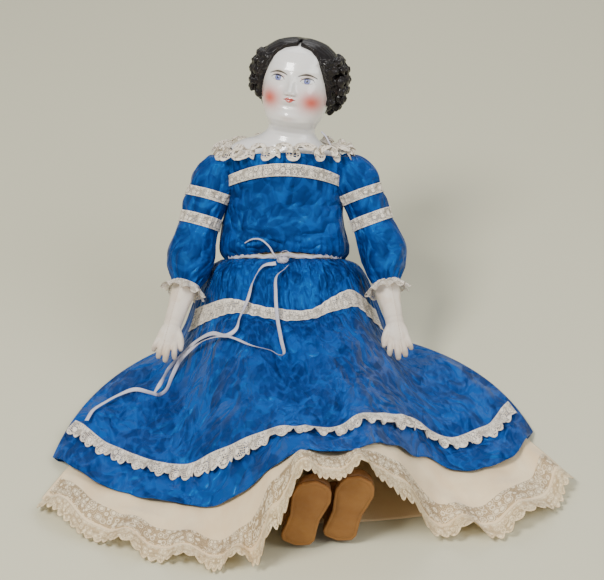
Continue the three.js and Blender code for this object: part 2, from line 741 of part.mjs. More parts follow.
// The rows of a lace band that lies just outside the sleeve.
function bandRows(from, to) {
  const out = CLEARANCE + 0.2 + LACE;
  const rows = [...SLEEVE, ...LOWER_SLEEVE];
  return [from, (from + to) / 2, to].map((along) => [along, ...read(rows, along).map((reach) => reach + out)]);
}

for (const side of Object.keys(SIDES)) {
  add(`sleeve_upper_${side}`, 'silk', upperSleeve(side));
  add(`sleeve_lower_${side}`, 'silk', sleeveShell(side, LOWER_SLEEVE, CLOTH));
  add(`sleeve_band_upper_${side}`, 'lace', sleeveShell(side, bandRows(30, 42), LACE));
  add(`sleeve_band_lower_${side}`, 'lace', sleeveShell(side, bandRows(61, 75), LACE));
  const flare = (along, turn) => Math.max(along - CUFF, 0) * 0.14 * Math.sin(turn * 9);
  const cuff = [[CUFF - 1, 17.4, 17.4], [CUFF + 6, 20, 19], [CUFF + 15, 25, 22]];
  add(`cuff_lace_ruffle_${side}`, 'lace', sleeveShell(side, cuff, LACE, 36, flare));
}

// ---- ribbons -------------------------------------------------------------------------
const RIBBON = 5;
const THREAD = 2;
const KNOT = [-1, -10, 151];

function bow() {
  const knot = new THREE.SphereGeometry(4.5, 12, 8);
  knot.scale(1.5, 0.8, 1);
  knot.translate(...KNOT);
  const loop = new THREE.TorusGeometry(5, 1.2, 6, 16);
  loop.rotateX(Math.PI / 2 - RECLINE);
  loop.translate(KNOT[0] + 3, KNOT[1] - 1, KNOT[2] + 8);
  return joined([knot, loop]);
}

add('waist_ribbon', 'ribbon', waistRing([[127, 79, 55], [131.6, 78.8, 55]], LACE));
add('ribbon_bow', 'ribbon', bow());

// Each free end of ribbon, from the knot outwards.
const ROUTES = {
  ribbon_tail_short: [
    [-9, -16, 150], [-24, -19, 148], [-36, -33, 135], [-42, -48, 120], [-51, -71, 109], [-56, -89, 103],
    [-66, -90, 96], [-84, -69, 85], [-105, -52, 62], [-122, -53, 43], [-137, -68, 35], [-145, -88, 29],
    [-153, -107, 25],
  ],
  ribbon_tail_long: [
    [5, -17, 147], [1, -25, 147], [-8, -32, 142], [-9, -48, 127], [-7, -75, 112], [-2, -114, 106],
    [1, -145, 106], [-5, -151, 110], [-13, -143, 110], [-37, -124, 105], [-63, -99, 100], [-88, -79, 84],
    [-107, -66, 63], [-124, -64, 43], [-133, -76, 29], [-140, -93, 20], [-148, -98, 17], [-158, -94, 17],
    [-177, -87, 17], [-195, -98, 17], [-211, -114, 17], [-223, -129, 17], [-229, -150, 17],
  ],
  ribbon_end_loose: [
    [-8, -16, 157], [-12, -15, 163], [-17, -11, 170], [-27, -5, 176], [-37, 1, 173], [-46, 6, 165],
  ],
  neck_drawstring: [
    [66, 69, 254], [60, 63, 260], [55, 62, 269], [50, 66, 277], [45, 70, 281],
  ],
};
const CORD_STEPS = { ribbon_tail_short: 26, ribbon_tail_long: 48, ribbon_end_loose: 12, neck_drawstring: 8 };

for (const [name, route] of Object.entries(ROUTES)) {
  const width = name.startsWith('ribbon_tail') ? RIBBON : THREAD;
  add(name, 'ribbon', cordOf(route, width, CORD_STEPS[name]));
}

export default parts;
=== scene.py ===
# The looks of a seated china shoulder-head doll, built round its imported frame.
# Lengths below are millimetres in the frame's own axes; mesh data is made in metres.
import math

import bmesh
import bpy
import numpy as np
from mathutils import Matrix, Vector


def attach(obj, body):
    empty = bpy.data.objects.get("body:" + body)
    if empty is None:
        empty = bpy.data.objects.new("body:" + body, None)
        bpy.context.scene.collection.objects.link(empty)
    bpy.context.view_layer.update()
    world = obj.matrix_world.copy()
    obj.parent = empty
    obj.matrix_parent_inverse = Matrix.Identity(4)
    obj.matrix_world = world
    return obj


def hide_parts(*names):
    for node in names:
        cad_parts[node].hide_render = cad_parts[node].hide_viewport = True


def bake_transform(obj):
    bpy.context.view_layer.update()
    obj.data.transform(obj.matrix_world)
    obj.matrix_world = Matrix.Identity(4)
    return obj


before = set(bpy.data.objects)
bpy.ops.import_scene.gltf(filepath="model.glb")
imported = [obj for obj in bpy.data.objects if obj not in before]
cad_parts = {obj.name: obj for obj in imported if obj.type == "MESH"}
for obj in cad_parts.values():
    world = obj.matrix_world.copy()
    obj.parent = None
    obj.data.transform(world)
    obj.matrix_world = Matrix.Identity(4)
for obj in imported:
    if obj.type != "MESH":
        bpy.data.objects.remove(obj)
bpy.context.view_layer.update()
MM = 0.001
TAU = 2 * math.pi
SIDES = {"left": 1, "right": -1}
CLOTH_THICKNESS, LACE_THICKNESS, STRIP_THICKNESS = 0.8, 0.45, 0.5


def linked(name, data):
    obj = bpy.data.objects.new(name, data)
    bpy.context.collection.objects.link(obj)
    return obj


# ---- camera ----------------------------------------
def camera():
    target = Vector((0.022, -0.060, 0.140))
    forward = Vector((0, 0.848, -0.530)).normalized()
    up = Vector((0, 0.530, 0.848)).normalized()
    data = bpy.data.cameras.new("camera")
    data.sensor_width = 36
    data.lens = 112
    data.clip_start = 0.05
    data.clip_end = 30
    obj = linked("camera", data)
    place = Matrix((forward.cross(up), up, -forward)).transposed().to_4x4()
    place.translation = target - 2.2 * forward
    obj.matrix_world = place
    bpy.context.scene.camera = obj


camera()


# ---- numbers ----------------------------------------
def smooth(t):
    t = np.clip(t, 0, 1)
    return t * t * (3 - 2 * t)


def lerp(a, b, t):
    return a + (b - a) * t


def bump(x, centre, width):
    return np.exp(-(((x - centre) / width) ** 2))


def noise(u, v, seed):
    """A smooth random field from -1 to 1 with about one bump per unit."""
    size, start = 61, 30
    field = np.random.default_rng(seed).uniform(-1, 1, (size, size))
    u, v = u + start, v + start
    iu, iv = np.floor(u).astype(int), np.floor(v).astype(int)
    fu, fv = smooth(u - iu), smooth(v - iv)
    low = lerp(field[iu % size, iv % size], field[(iu + 1) % size, iv % size], fu)
    high = lerp(field[iu % size, (iv + 1) % size], field[(iu + 1) % size, (iv + 1) % size], fu)
    return lerp(low, high, fv)


def unit(vectors):
    vectors = np.asarray(vectors, float)
    return vectors / np.linalg.norm(vectors, axis=-1, keepdims=True)


def spots_at(*axes):
    """Points from their coordinates, which are first spread to one shape."""
    return np.stack(np.broadcast_arrays(*axes), -1)


def read(table, key, soften=0.0):
    """Columns of a table of (key, value, ...) rows at the keys asked for."""
    table = np.asarray(table, float)
    out = []
    for column in table.T[1:]:
        if soften:
            spots = np.linspace(-2, 2, 9)
            weights = np.exp(-spots ** 2)
            total = sum(w * np.interp(key + s * soften, table[:, 0], column)
                        for s, w in zip(spots, weights))
            out.append(total / weights.sum())
        else:
            out.append(np.interp(key, table[:, 0], column))
    return out


def rounded(rows, count):
    """Rows of numbers resampled on a smooth curve through them."""
    rows = np.asarray(rows, float)
    step = np.linalg.norm(np.diff(rows, axis=0), axis=1) + 1e-6
    at = np.concatenate([[0], np.cumsum(step)])
    wanted = np.linspace(0, at[-1], count)
    n = np.clip(np.searchsorted(at, wanted, side="right") - 1, 0, len(rows) - 2)
    t = ((wanted - at[n]) / (at[n + 1] - at[n]))[:, None]
    slope = np.gradient(rows, at, axis=0)
    gap = (at[n + 1] - at[n])[:, None]
    a, b = rows[n], rows[n + 1]
    return ((2 * t ** 3 - 3 * t ** 2 + 1) * a + (t ** 3 - 2 * t ** 2 + t) * gap * slope[n]
            + (3 * t ** 2 - 2 * t ** 3) * b + (t ** 3 - t ** 2) * gap * slope[n + 1])


# ---- meshes ----------------------------------------
def mesh(name, points, faces, uvs=None):
    data = bpy.data.meshes.new(name)
    data.from_pydata((np.asarray(points, float).reshape(-1, 3) * MM).tolist(), [],
                     faces if isinstance(faces, list) else faces.tolist())
    if uvs is not None:
        layer = data.uv_layers.new(name="UVMap")
        layer.data.foreach_set("uv", np.asarray(uvs, float).ravel())
    data.polygons.foreach_set("use_smooth", [True] * len(data.polygons))
    data.update()
    return linked(name, data)


CORNERS = ((0, 0), (1, 0), (1, 1), (0, 1))


def grid(name, points, uv=(1.0, 1.0), wrap=False, flip=False):
    """A sheet of quads over points[u, v]; wrap closes it in u. uv is (width, length) in metres."""
    nu, nv = points.shape[:2]
    spans = nu if wrap else nu - 1
    u, v = np.arange(spans)[:, None], np.arange(nv - 1)[None, :]
    faces = np.stack([(((u + i) % nu) * nv + v + j).ravel() for i, j in CORNERS], 1)
    loops = np.stack([spots_at((u + i) / spans * uv[0], (v + j) / (nv - 1) * uv[1]).reshape(-1, 2)
                      for i, j in CORNERS], 1)
    if flip:
        faces, loops = faces[:, ::-1], loops[:, ::-1]
    return mesh(name, points, faces, loops)


def tube_faces(around, along):
    """The quads of a tube whose points run along it first and then round it."""
    u, v = np.arange(around)[:, None], np.arange(along - 1)[None, :]
    return np.stack([(((u + i) % around) * along + v + j).ravel() for i, j in CORNERS], 1).tolist()


def capped(points, low=0, high=0):
    """A tube closed by a fan of triangles at each end, with the fans' middles lifted by low and high."""
    around, along = points.shape[:2]
    middles = [points[:, 0].mean(0) + (0, 0, low), points[:, -1].mean(0) + (0, 0, high)]
    here = np.arange(around) * along
    after = np.roll(here, -1)
    start = np.stack([after, here, np.full(around, around * along)], 1)
    end = np.stack([here + along - 1, after + along - 1, np.full(around, around * along + 1)], 1)
    faces = tube_faces(around, along) + start.tolist() + end.tolist()
    return np.concatenate([points.reshape(-1, 3), middles]), faces


def flat_ended(points):
    """A tube closed by one flat face at each end."""
    around, along = points.shape[:2]
    starts = [k * along for k in range(around)]
    faces = tube_faces(around, along) + [starts[::-1], [k + along - 1 for k in starts]]
    return points.reshape(-1, 3), faces


def modifier(obj, kind, **settings):
    made = obj.modifiers.new(kind.lower(), kind)
    for key, value in settings.items():
        setattr(made, key, value)
    return made


def applied(obj):
    """The object's mesh with its modifiers worked in."""
    graph = bpy.context.evaluated_depsgraph_get()
    data = bpy.data.meshes.new_from_object(obj.evaluated_get(graph))
    obj.modifiers.clear()
    old = obj.data
    obj.data = data
    bpy.data.meshes.remove(old)
    return obj


def thicken(obj, thickness, offset=-1.0):
    modifier(obj, "SOLIDIFY", thickness=thickness * MM, offset=offset)
    return applied(obj)


def merged(name, objs):
    """Several meshes as one object."""
    points, faces, start = [], [], 0
    for obj in objs:
        points.append(points_of(obj))
        faces += [[start + n for n in p.vertices] for p in obj.data.polygons]
        start += len(obj.data.vertices)
        bpy.data.objects.remove(obj)
    return mesh(name, np.concatenate(points), faces)


def remeshed(obj, voxel, rounds=2, factor=0.5):
    modifier(obj, "REMESH", mode="VOXEL", voxel_size=voxel * MM, use_smooth_shade=True)
    modifier(obj, "SMOOTH", factor=factor, iterations=rounds)
    applied(obj)
    obj.data.polygons.foreach_set("use_smooth", [True] * len(obj.data.polygons))
    return obj


def points_of(obj):
    spots = np.empty(len(obj.data.vertices) * 3)
    obj.data.vertices.foreach_get("co", spots)
    return spots.reshape(-1, 3) / MM


def put_points(obj, points):
    obj.data.vertices.foreach_set("co", (np.asarray(points) * MM).ravel())
    obj.data.update()


def painted(obj, colours, name="paint"):
    layer = obj.data.color_attributes.new(name, "FLOAT_COLOR", "POINT")
    rgba = np.ones((len(colours), 4))
    rgba[:, :3] = colours
    layer.data.foreach_set("color", rgba.ravel())


def ring_solid(name, rows, segments, place, count=None):
    """A closed body through rings: place(row columns, turn) gives points; ends are capped."""
    rows = rounded(rows, count) if count else np.asarray(rows, float)
    turn = np.linspace(0, TAU, segments, endpoint=False)[:, None]
    return mesh(name, *capped(place([c[None, :] for c in rows.T], turn)))


def reworked(obj, change):
    """The object after change(work) has edited its mesh."""
    work = bmesh.new()
    work.from_mesh(obj.data)
    change(work)
    work.to_mesh(obj.data)
    work.free()
    return obj


def outward(obj):
    """Faces turned to face out of a closed body."""
    return reworked(obj, lambda work: bmesh.ops.recalc_face_normals(work, faces=work.faces))


# ---- frames shared with the solids ----------------------------------------
RECLINE = math.radians(20)
SPINE = np.array(Matrix.Rotation(-RECLINE, 4, "X"))


def about_spine(turn, across, deep, along):
    """Points of oval rings about the spine; turn 0 is the front, a quarter turn is +X."""
    y = -deep * np.cos(turn)
    return spots_at(across * np.sin(turn), y * math.cos(RECLINE) + along * math.sin(RECLINE),
                    -y * math.sin(RECLINE) + along * math.cos(RECLINE))


def moved(matrix, x, y, z):
    return (spots_at(x, y, z, 1.0) @ np.array(matrix).T)[..., :3]


def unmoved(matrix, points):
    inverse = np.linalg.inv(np.array(matrix))
    return points @ inverse[:3, :3].T + inverse[:3, 3]


def basis(x, y, z, origin):
    matrix = np.eye(4)
    matrix[:3] = np.stack([x, y, z, origin], 1)
    return matrix


def frame_along(start, end, across=(1, 0, 0)):
    z = unit(np.asarray(end, float) - start)
    y = unit(np.cross(z, across))
    return basis(np.cross(y, z), y, z, start)


NECK_BASE, HEAD_ASIDE = 255, 5.5
HEAD_ROLL, HEAD_YAW = math.radians(7.3), math.radians(-10)
HEAD = (Matrix.Rotation(-RECLINE, 4, "X") @ Matrix.Translation((HEAD_ASIDE, 0, NECK_BASE))
        @ Matrix.Rotation(HEAD_ROLL, 4, "Y") @ Matrix.Rotation(HEAD_YAW, 4, "Z"))

SHOULDER = {side: about_spine(math.pi / 2, 78 * sign, 0, 240) for side, sign in SIDES.items()}
ELBOW = {"left": (116, 25, 138), "right": (-107, 22, 138)}
FINGERTIPS = {"left": (142, -76, 52), "right": (-146, -80, 52)}
HIP = {"left": (36, -22, 40), "right": (-36, -22, 40)}
HEEL = {"left": (60, -351, 7), "right": (15, -359, 7)}
UPPER = {side: frame_along(SHOULDER[side], ELBOW[side]) for side in SIDES}
FORE = {side: frame_along(ELBOW[side], FINGERTIPS[side]) for side in SIDES}
UPPER_LENGTH = {side: math.dist(ELBOW[side], SHOULDER[side]) for side in SIDES}
FORE_LENGTH = {side: math.dist(FINGERTIPS[side], ELBOW[side]) for side in SIDES}


# ---- materials ----------------------------------------
class Graph:
    """A material's node graph, built by short calls."""

    def __init__(self, name):
        self.material = bpy.data.materials.new(name)
        self.material.use_nodes = True
        self.tree = self.material.node_tree
        self.shader = self.tree.nodes["Principled BSDF"]

    def node(self, kind, **settings):
        made = self.tree.nodes.new(kind)
        for key, value in settings.items():
            setattr(made, key, value)
        return made

    def feed(self, socket, value):
        if isinstance(value, bpy.types.NodeSocket):
            self.tree.links.new(value, socket)
        else:
            socket.default_value = value

    def set(self, **values):
        for key, value in values.items():
            self.feed(self.shader.inputs[key.replace("_", " ")], value)
        return self

    def op(self, kind, a, b=0.0, c=0.0):
        made = self.node("ShaderNodeMath", operation=kind)
        for socket, value in zip(made.inputs, (a, b, c)):
            self.feed(socket, value)
        return made.outputs[0]

    def plus(self, a, b):
        return self.op("ADD", a, b)

    def times(self, a, b):
        return self.op("MULTIPLY", a, b)

    def vector(self, kind, a, b=(0, 0, 0), scale=None):
        made = self.node("ShaderNodeVectorMath", operation=kind)
        self.feed(made.inputs[0], a)
        if scale is None:
            self.feed(made.inputs[1], b)
        else:
            self.feed(made.inputs["Scale"], scale)
        return made.outputs["Value"] if kind in ("LENGTH", "DISTANCE", "DOT_PRODUCT") else made.outputs[0]

    def coords(self, kind="Object"):
        return self.node("ShaderNodeTexCoord").outputs[kind]

    def paint(self):
        return self.node("ShaderNodeVertexColor", layer_name="paint").outputs[0]

    def parts(self, vector):
        made = self.node("ShaderNodeSeparateXYZ")
        self.feed(made.inputs[0], vector)
        return made.outputs[:3]

    def join(self, x, y, z=0.0):
        made = self.node("ShaderNodeCombineXYZ")
        for socket, value in zip(made.inputs, (x, y, z)):
            self.feed(socket, value)
        return made.outputs[0]

    def noise(self, vector, scale, detail=3.0, roughness=0.55):
        made = self.node("ShaderNodeTexNoise")
        settings = {"Vector": vector, "Scale": scale, "Detail": detail, "Roughness": roughness}
        for key, value in settings.items():
            self.feed(made.inputs[key], value)
        return made.outputs[0]

    def voronoi(self, vector, scale, feature="F1", randomness=1.0, output="Distance"):
        made = self.node("ShaderNodeTexVoronoi", feature=feature)
        for key, value in (("Vector", vector), ("Scale", scale), ("Randomness", randomness)):
            self.feed(made.inputs[key], value)
        return made.outputs[output]

    def weave(self, x, y, threads):
        return self.plus(self.op("SINE", self.times(x, threads)), self.op("SINE", self.times(y, threads)))

    def wander(self, vector, scale, reach):
        """The vector moved about by a smooth random offset."""
        made = self.node("ShaderNodeTexNoise")
        for key, value in (("Vector", vector), ("Scale", scale), ("Detail", 2.0)):
            self.feed(made.inputs[key], value)
        offset = self.vector("SUBTRACT", made.outputs["Color"], (0.5, 0.5, 0.5))
        return self.vector("ADD", vector, self.vector("SCALE", offset, scale=reach))

    def motif(self, uv, scale, randomness, petals, reach):
        """Flower-like figures, one in each cell: rings of petals about the cell's own middle."""
        cell = self.node("ShaderNodeTexVoronoi", voronoi_dimensions="2D")
        for key, value in (("Vector", uv), ("Scale", scale), ("Randomness", randomness)):
            self.feed(cell.inputs[key], value)
        here = self.vector("SCALE", uv, scale=scale)
        middle = self.vector("SCALE", cell.outputs["Position"], scale=scale)
        dx, dy, _ = self.parts(self.vector("SUBTRACT", here, middle))
        radius = self.vector("LENGTH", self.join(dx, dy))
        turns = self.times(self.op("ARCTAN2", dy, dx), petals)
        petal = self.op("SINE", self.plus(turns, self.times(radius, 9.0)))
        edge = self.op("MULTIPLY_ADD", petal, 0.09, reach - 0.06)
        inside = self.between(self.op("SUBTRACT", edge, radius), -0.015, 0.03)
        rings = self.op("SINE", self.plus(self.times(radius, 23.0), self.times(petal, 1.6)))
        return self.times(inside, self.between(rings, -0.75, -0.2, 0.35, 1.0))

    def between(self, value, low, high, out_low=0.0, out_high=1.0):
        made = self.node("ShaderNodeMapRange")
        for socket, item in zip(made.inputs, (value, low, high, out_low, out_high)):
            self.feed(socket, item)
        return made.outputs[0]

    def mix(self, share, a, b):
        made = self.node("ShaderNodeMix", data_type="RGBA")
        self.feed(made.inputs["Factor"], share)
        for socket, value in zip((made.inputs[6], made.inputs[7]), (a, b)):
            self.feed(socket, value if isinstance(value, bpy.types.NodeSocket) else (*value, 1))
        return made.outputs[2]

    def bump(self, height, strength=0.5, distance=0.001):
        made = self.node("ShaderNodeBump")
        for key, value in (("Height", height), ("Strength", strength), ("Distance", distance)):
            self.feed(made.inputs[key], value)
        return self.set(Normal=made.outputs[0])


def colour(graph, value):
    return graph.set(Base_Color=value if isinstance(value, bpy.types.NodeSocket) else (*value, 1))


def silk():
    """Blue silk damask: satin ground with woven roses and leaves, in the cloth's own metres."""
    g = Graph("blue_damask_silk")
    uv = g.coords("UV")
    warp = g.wander(uv, 30, 0.012)
    roses = g.motif(warp, 10.0, 0.85, 5.0, 0.46)
    leaves = g.motif(g.vector("ADD", warp, (0.31, 0.17, 0)), 17.0, 1.0, 3.0, 0.42)
    woven = g.op("MAXIMUM", roses, g.times(leaves, 0.7))
    mottle = g.noise(uv, 16, 4)
    ground = g.mix(mottle, (0.0, 0.048, 0.25), (0.0, 0.088, 0.40))
    figure = g.mix(mottle, (0.0, 0.020, 0.13), (0.0, 0.036, 0.20))
    colour(g, g.mix(woven, ground, figure))
    g.set(Roughness=g.between(woven, 0, 1, 0.34, 0.55), Specular_IOR_Level=0.62,
          Specular_Tint=(0.12, 0.5, 1, 1))
    x, y, _ = g.parts(uv)
    height = g.plus(g.times(woven, 0.5), g.times(g.weave(x, y, 9000), 0.05))
    height = g.plus(height, g.times(g.noise(uv, 70, 3), 0.9))
    bent = g.wander(uv, 14, 0.05)
    for scale, deep in ((15, 110.0), (34, 45.0)):
        crease = g.op("ABSOLUTE", g.op("SUBTRACT", g.noise(bent, scale, 1.5), 0.5))
        height = g.plus(height, g.times(g.op("MINIMUM", crease, 0.14), deep))
    g.bump(height, 0.7, 0.0006)
    return g.material


def cloth(name, low, high, thread=5200.0, roughness=0.9, space="UV", grain=60, depth=0.35):
    """Plain woven cloth with uneven tone."""
    g = Graph(name)
    at = g.coords(space)
    x, y, _ = g.parts(at)
    tone = g.noise(at, grain, 4)
    colour(g, g.mix(g.between(tone, 0.3, 0.7), low, high))
    g.set(Roughness=roughness, Sheen_Weight=0.2, Sheen_Roughness=0.6, Specular_IOR_Level=0.25)
    g.bump(g.plus(g.times(g.weave(x, y, thread), 0.18), g.noise(at, grain * 4, 3)), depth, 0.0006)
    return g.material


def lace(name, low, high, motif=150.0, scallop=0.0, period=0.011, net=640.0, depth=0.014):
    """Lace on a strip whose u is metres along and v runs 0 to 1 from its foot to its free edge."""
    g = Graph(name)
    solid, holes = 0.36, 0.5
    u, v, _ = g.parts(g.coords("UV"))
    flat = g.join(u, g.times(v, depth))
    figure = g.voronoi(flat, motif, "F1", 0.55)
    petals = g.between(figure, solid, solid - 0.09)
    rim = g.between(g.op("ABSOLUTE", g.op("SUBTRACT", figure, solid + 0.13)), 0.07, 0.03)
    mesh_net = g.voronoi(flat, net, "DISTANCE_TO_EDGE", 0.4)
    figures = g.op("MAXIMUM", petals, rim)
    cover = g.op("MAXIMUM", figures, g.between(mesh_net, 0.20, 0.11))
    cover = g.op("MAXIMUM", cover, g.between(v, 0.10, 0.07))
    if scallop:
        wave = g.op("ABSOLUTE", g.op("SINE", g.times(u, math.pi / period)))
        limit = g.op("MULTIPLY_ADD", wave, scallop, 1.0 - scallop)
        gap = g.op("SUBTRACT", limit, v)
        cord = g.times(g.between(gap, 0.13, 0.09), g.between(gap, 0.0, 0.02))
        cover = g.times(g.op("MAXIMUM", cover, cord), g.between(gap, -0.01, 0.01))
    else:
        cover = g.op("MAXIMUM", cover, g.between(v, 0.90, 0.93))
    colour(g, g.mix(figures, low, high))
    g.set(Roughness=0.9, Specular_IOR_Level=0.2, Sheen_Weight=0.15)
    g.set(Alpha=g.between(cover, holes - 0.1, holes + 0.1))
    g.bump(cover, 0.5, 0.0005)
    g.material.blend_method = "HASHED"
    return g.material


def leather(name, low, high, roughness=0.55, grain=420, depth=0.3):
    g = Graph(name)
    at = g.coords("Object")
    tone = g.noise(at, 28, 5)
    fine = g.noise(at, 160, 3)
    base = g.mix(g.between(tone, 0.3, 0.72), low, high)
    if name.startswith("kid"):
        made = g.node("ShaderNodeMix", data_type="RGBA", blend_type="MULTIPLY")
        made.inputs["Factor"].default_value = 1
        g.feed(made.inputs[6], base)
        g.feed(made.inputs[7], g.paint())
        base = made.outputs[2]
    colour(g, base)
    g.set(Roughness=g.between(fine, 0.3, 0.7, roughness - 0.08, roughness + 0.1), Specular_IOR_Level=0.4)
    pores = g.voronoi(at, grain, "DISTANCE_TO_EDGE")
    g.bump(g.plus(g.times(pores, 1.5), fine), depth, 0.0005)
    return g.material


def china():
    g = Graph("glazed_china")
    colour(g, g.paint())
    at = g.coords("Object")
    g.set(Roughness=0.22, Coat_Weight=0.9, Coat_Roughness=0.06, Specular_IOR_Level=0.5,
          Subsurface_Weight=0.04, Subsurface_Radius=(0.003, 0.002, 0.0015), Subsurface_Scale=0.5)
    g.bump(g.noise(at, 90, 2), 0.05, 0.0006)
    return g.material


def black_glaze():
    g = Graph("black_glazed_hair")
    colour(g, g.paint())
    at = g.coords("Object")
    g.set(Roughness=0.27, Coat_Weight=0.12, Coat_Roughness=0.06, Specular_IOR_Level=0.22)
    g.bump(g.noise(at, 200, 2), 0.08, 0.0005)
    return g.material


def satin_ribbon():
    g = Graph("satin_ribbon")
    uv = g.coords("UV")
    u, v, _ = g.parts(uv)
    tone = g.noise(uv, 40, 3)
    edge = g.between(g.op("ABSOLUTE", g.op("SUBTRACT", v, 0.5)), 0.42, 0.47)
    body = g.mix(g.between(tone, 0.3, 0.7), (0.52, 0.50, 0.58), (0.74, 0.71, 0.77))
    colour(g, g.mix(edge, body, (0.36, 0.34, 0.42)))
    g.set(Roughness=0.42, Sheen_Weight=0.4, Sheen_Roughness=0.3, Specular_IOR_Level=0.6)
    ribs = g.op("SINE", g.times(u, 11000))
    g.bump(g.plus(ribs, g.times(edge, 2)), 0.18, 0.0004)
    return g.material


SILK = silk()
COTTON = cloth("petticoat_cotton", (0.86, 0.64, 0.37), (0.96, 0.78, 0.50), grain=22)
MUSLIN = cloth("body_muslin", (0.66, 0.56, 0.43), (0.78, 0.69, 0.56), space="Object", thread=4200)
LACE = lace("dress_lace", (0.72, 0.64, 0.52), (0.90, 0.82, 0.70))
LACE_EDGE = lace("scalloped_lace", (0.76, 0.67, 0.54), (0.92, 0.84, 0.72), scallop=0.22)
PETTI_LACE = lace("petticoat_insertion", (0.50, 0.36, 0.20), (0.90, 0.76, 0.52), motif=125.0, net=520.0,
                  depth=0.024)
EDGING = lace("petticoat_scallops", (0.76, 0.58, 0.33), (0.92, 0.76, 0.48), scallop=0.26, period=0.012,
              depth=0.026)
KID = leather("kid_leather", (0.74, 0.63, 0.50), (0.86, 0.78, 0.67), roughness=0.5)
BOOT = leather("boot_leather", (0.16, 0.07, 0.025), (0.24, 0.11, 0.04), roughness=0.45)
SOLE = leather("sole_leather", (0.27, 0.115, 0.03), (0.36, 0.165, 0.045), roughness=0.75, grain=900,
               depth=0.5)
CHINA = china()
HAIR = black_glaze()
RIBBON = satin_ribbon()


def finished(obj, material, slot, body, *nodes):
    obj.data.materials.clear()
    obj.data.materials.append(material)
    if nodes:
        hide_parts(*nodes)
    if body:
        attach(obj, body)
    return obj


# ---- china head: glazed shoulder plate, neck and face, with painted features ----------------
SKIN = [  # above the neck base, half width, depth in front, depth behind
    (137.5, 3, 3, 4), (137, 14, 12, 17), (133, 29, 25, 35), (126, 40, 34, 44), (115, 46, 39.5, 50),
    (105, 46, 42, 53), (95, 45, 43, 54), (85, 44, 43.5, 53), (75, 43.5, 43.5, 50), (67, 42.5, 43, 46),
    (59, 40.5, 42.5, 41), (52, 38, 42, 36), (46, 35, 41, 31), (41, 32, 37, 28), (37, 30, 31, 26.5),
    (31, 30.5, 27, 26), (26, 34, 27, 26.5), (22, 39, 28.5, 28), (19, 44, 29.5, 29.5), (17, 50, 32, 32),
]
PLATE = [  # share of the way from neck to rim, half width, half depth
    (0, 51, 32), (0.3, 57, 36), (0.6, 62, 38.5), (0.85, 65, 40.5), (1, 66, 41),
]
PLATE_LEAN = 5
RIM_SIDE, RIM_FRONT = 2, -24
CURLS_ROUND = 32
FACE_SKIN = (0.86, 0.835, 0.80)
BLACK = (0.012, 0.010, 0.010)


def plate_row(share, turn):
    rim = lerp(RIM_FRONT, RIM_SIDE, np.abs(np.sin(turn)) ** 1.5)
    return lerp(15.5, rim, share)


FEATURES = [  # height out of the face, middle and half width across, middle and half height up
    (2.6, 5.4, 2.6, 79.2, 2.6),  # wings of the nose
    (-1.0, 2.6, 1.1, 76.9, 0.9),  # nostrils
    (-3.2, 17.5, 10, 97, 7),  # eye sockets
    (2.4, 18, 7.2, 95.4, 4.2),  # eyeballs
    (1.0, 17, 9, 105, 3.4),  # brows
    (3.0, 23, 12, 78, 11),  # cheeks
    (2.7, 0, 9.0, 71.2, 4.6),  # lips
    (-0.9, 0, 8.0, 71.6, 0.6),  # line between the lips
    (-1.7, 0, 9.5, 64.0, 2.6),  # hollow under the lips
    (3.0, 0, 10.5, 48.5, 6.0),  # chin
    (-0.8, 0, 1.6, 75.2, 1.6),  # groove over the lips
]


def face_relief(x, z):
    """How far the face stands out from the plain oval of the head."""
    side = np.abs(x)
    nose_ridge = np.interp(z, [72, 76, 78.5, 81.5, 88, 96, 104], [0, 1.0, 6.4, 8.2, 5.6, 2.6, 0])
    nose_width = np.interp(z, [72, 80, 90, 104], [6.2, 5.2, 4.0, 5.0])
    out = nose_ridge * np.exp(-((x / nose_width) ** 2))
    for height, middle, half_width, up, half_height in FEATURES:
        out += height * np.exp(-(((side - middle) / half_width) ** 2) - ((z - up) / half_height) ** 2)
    return out


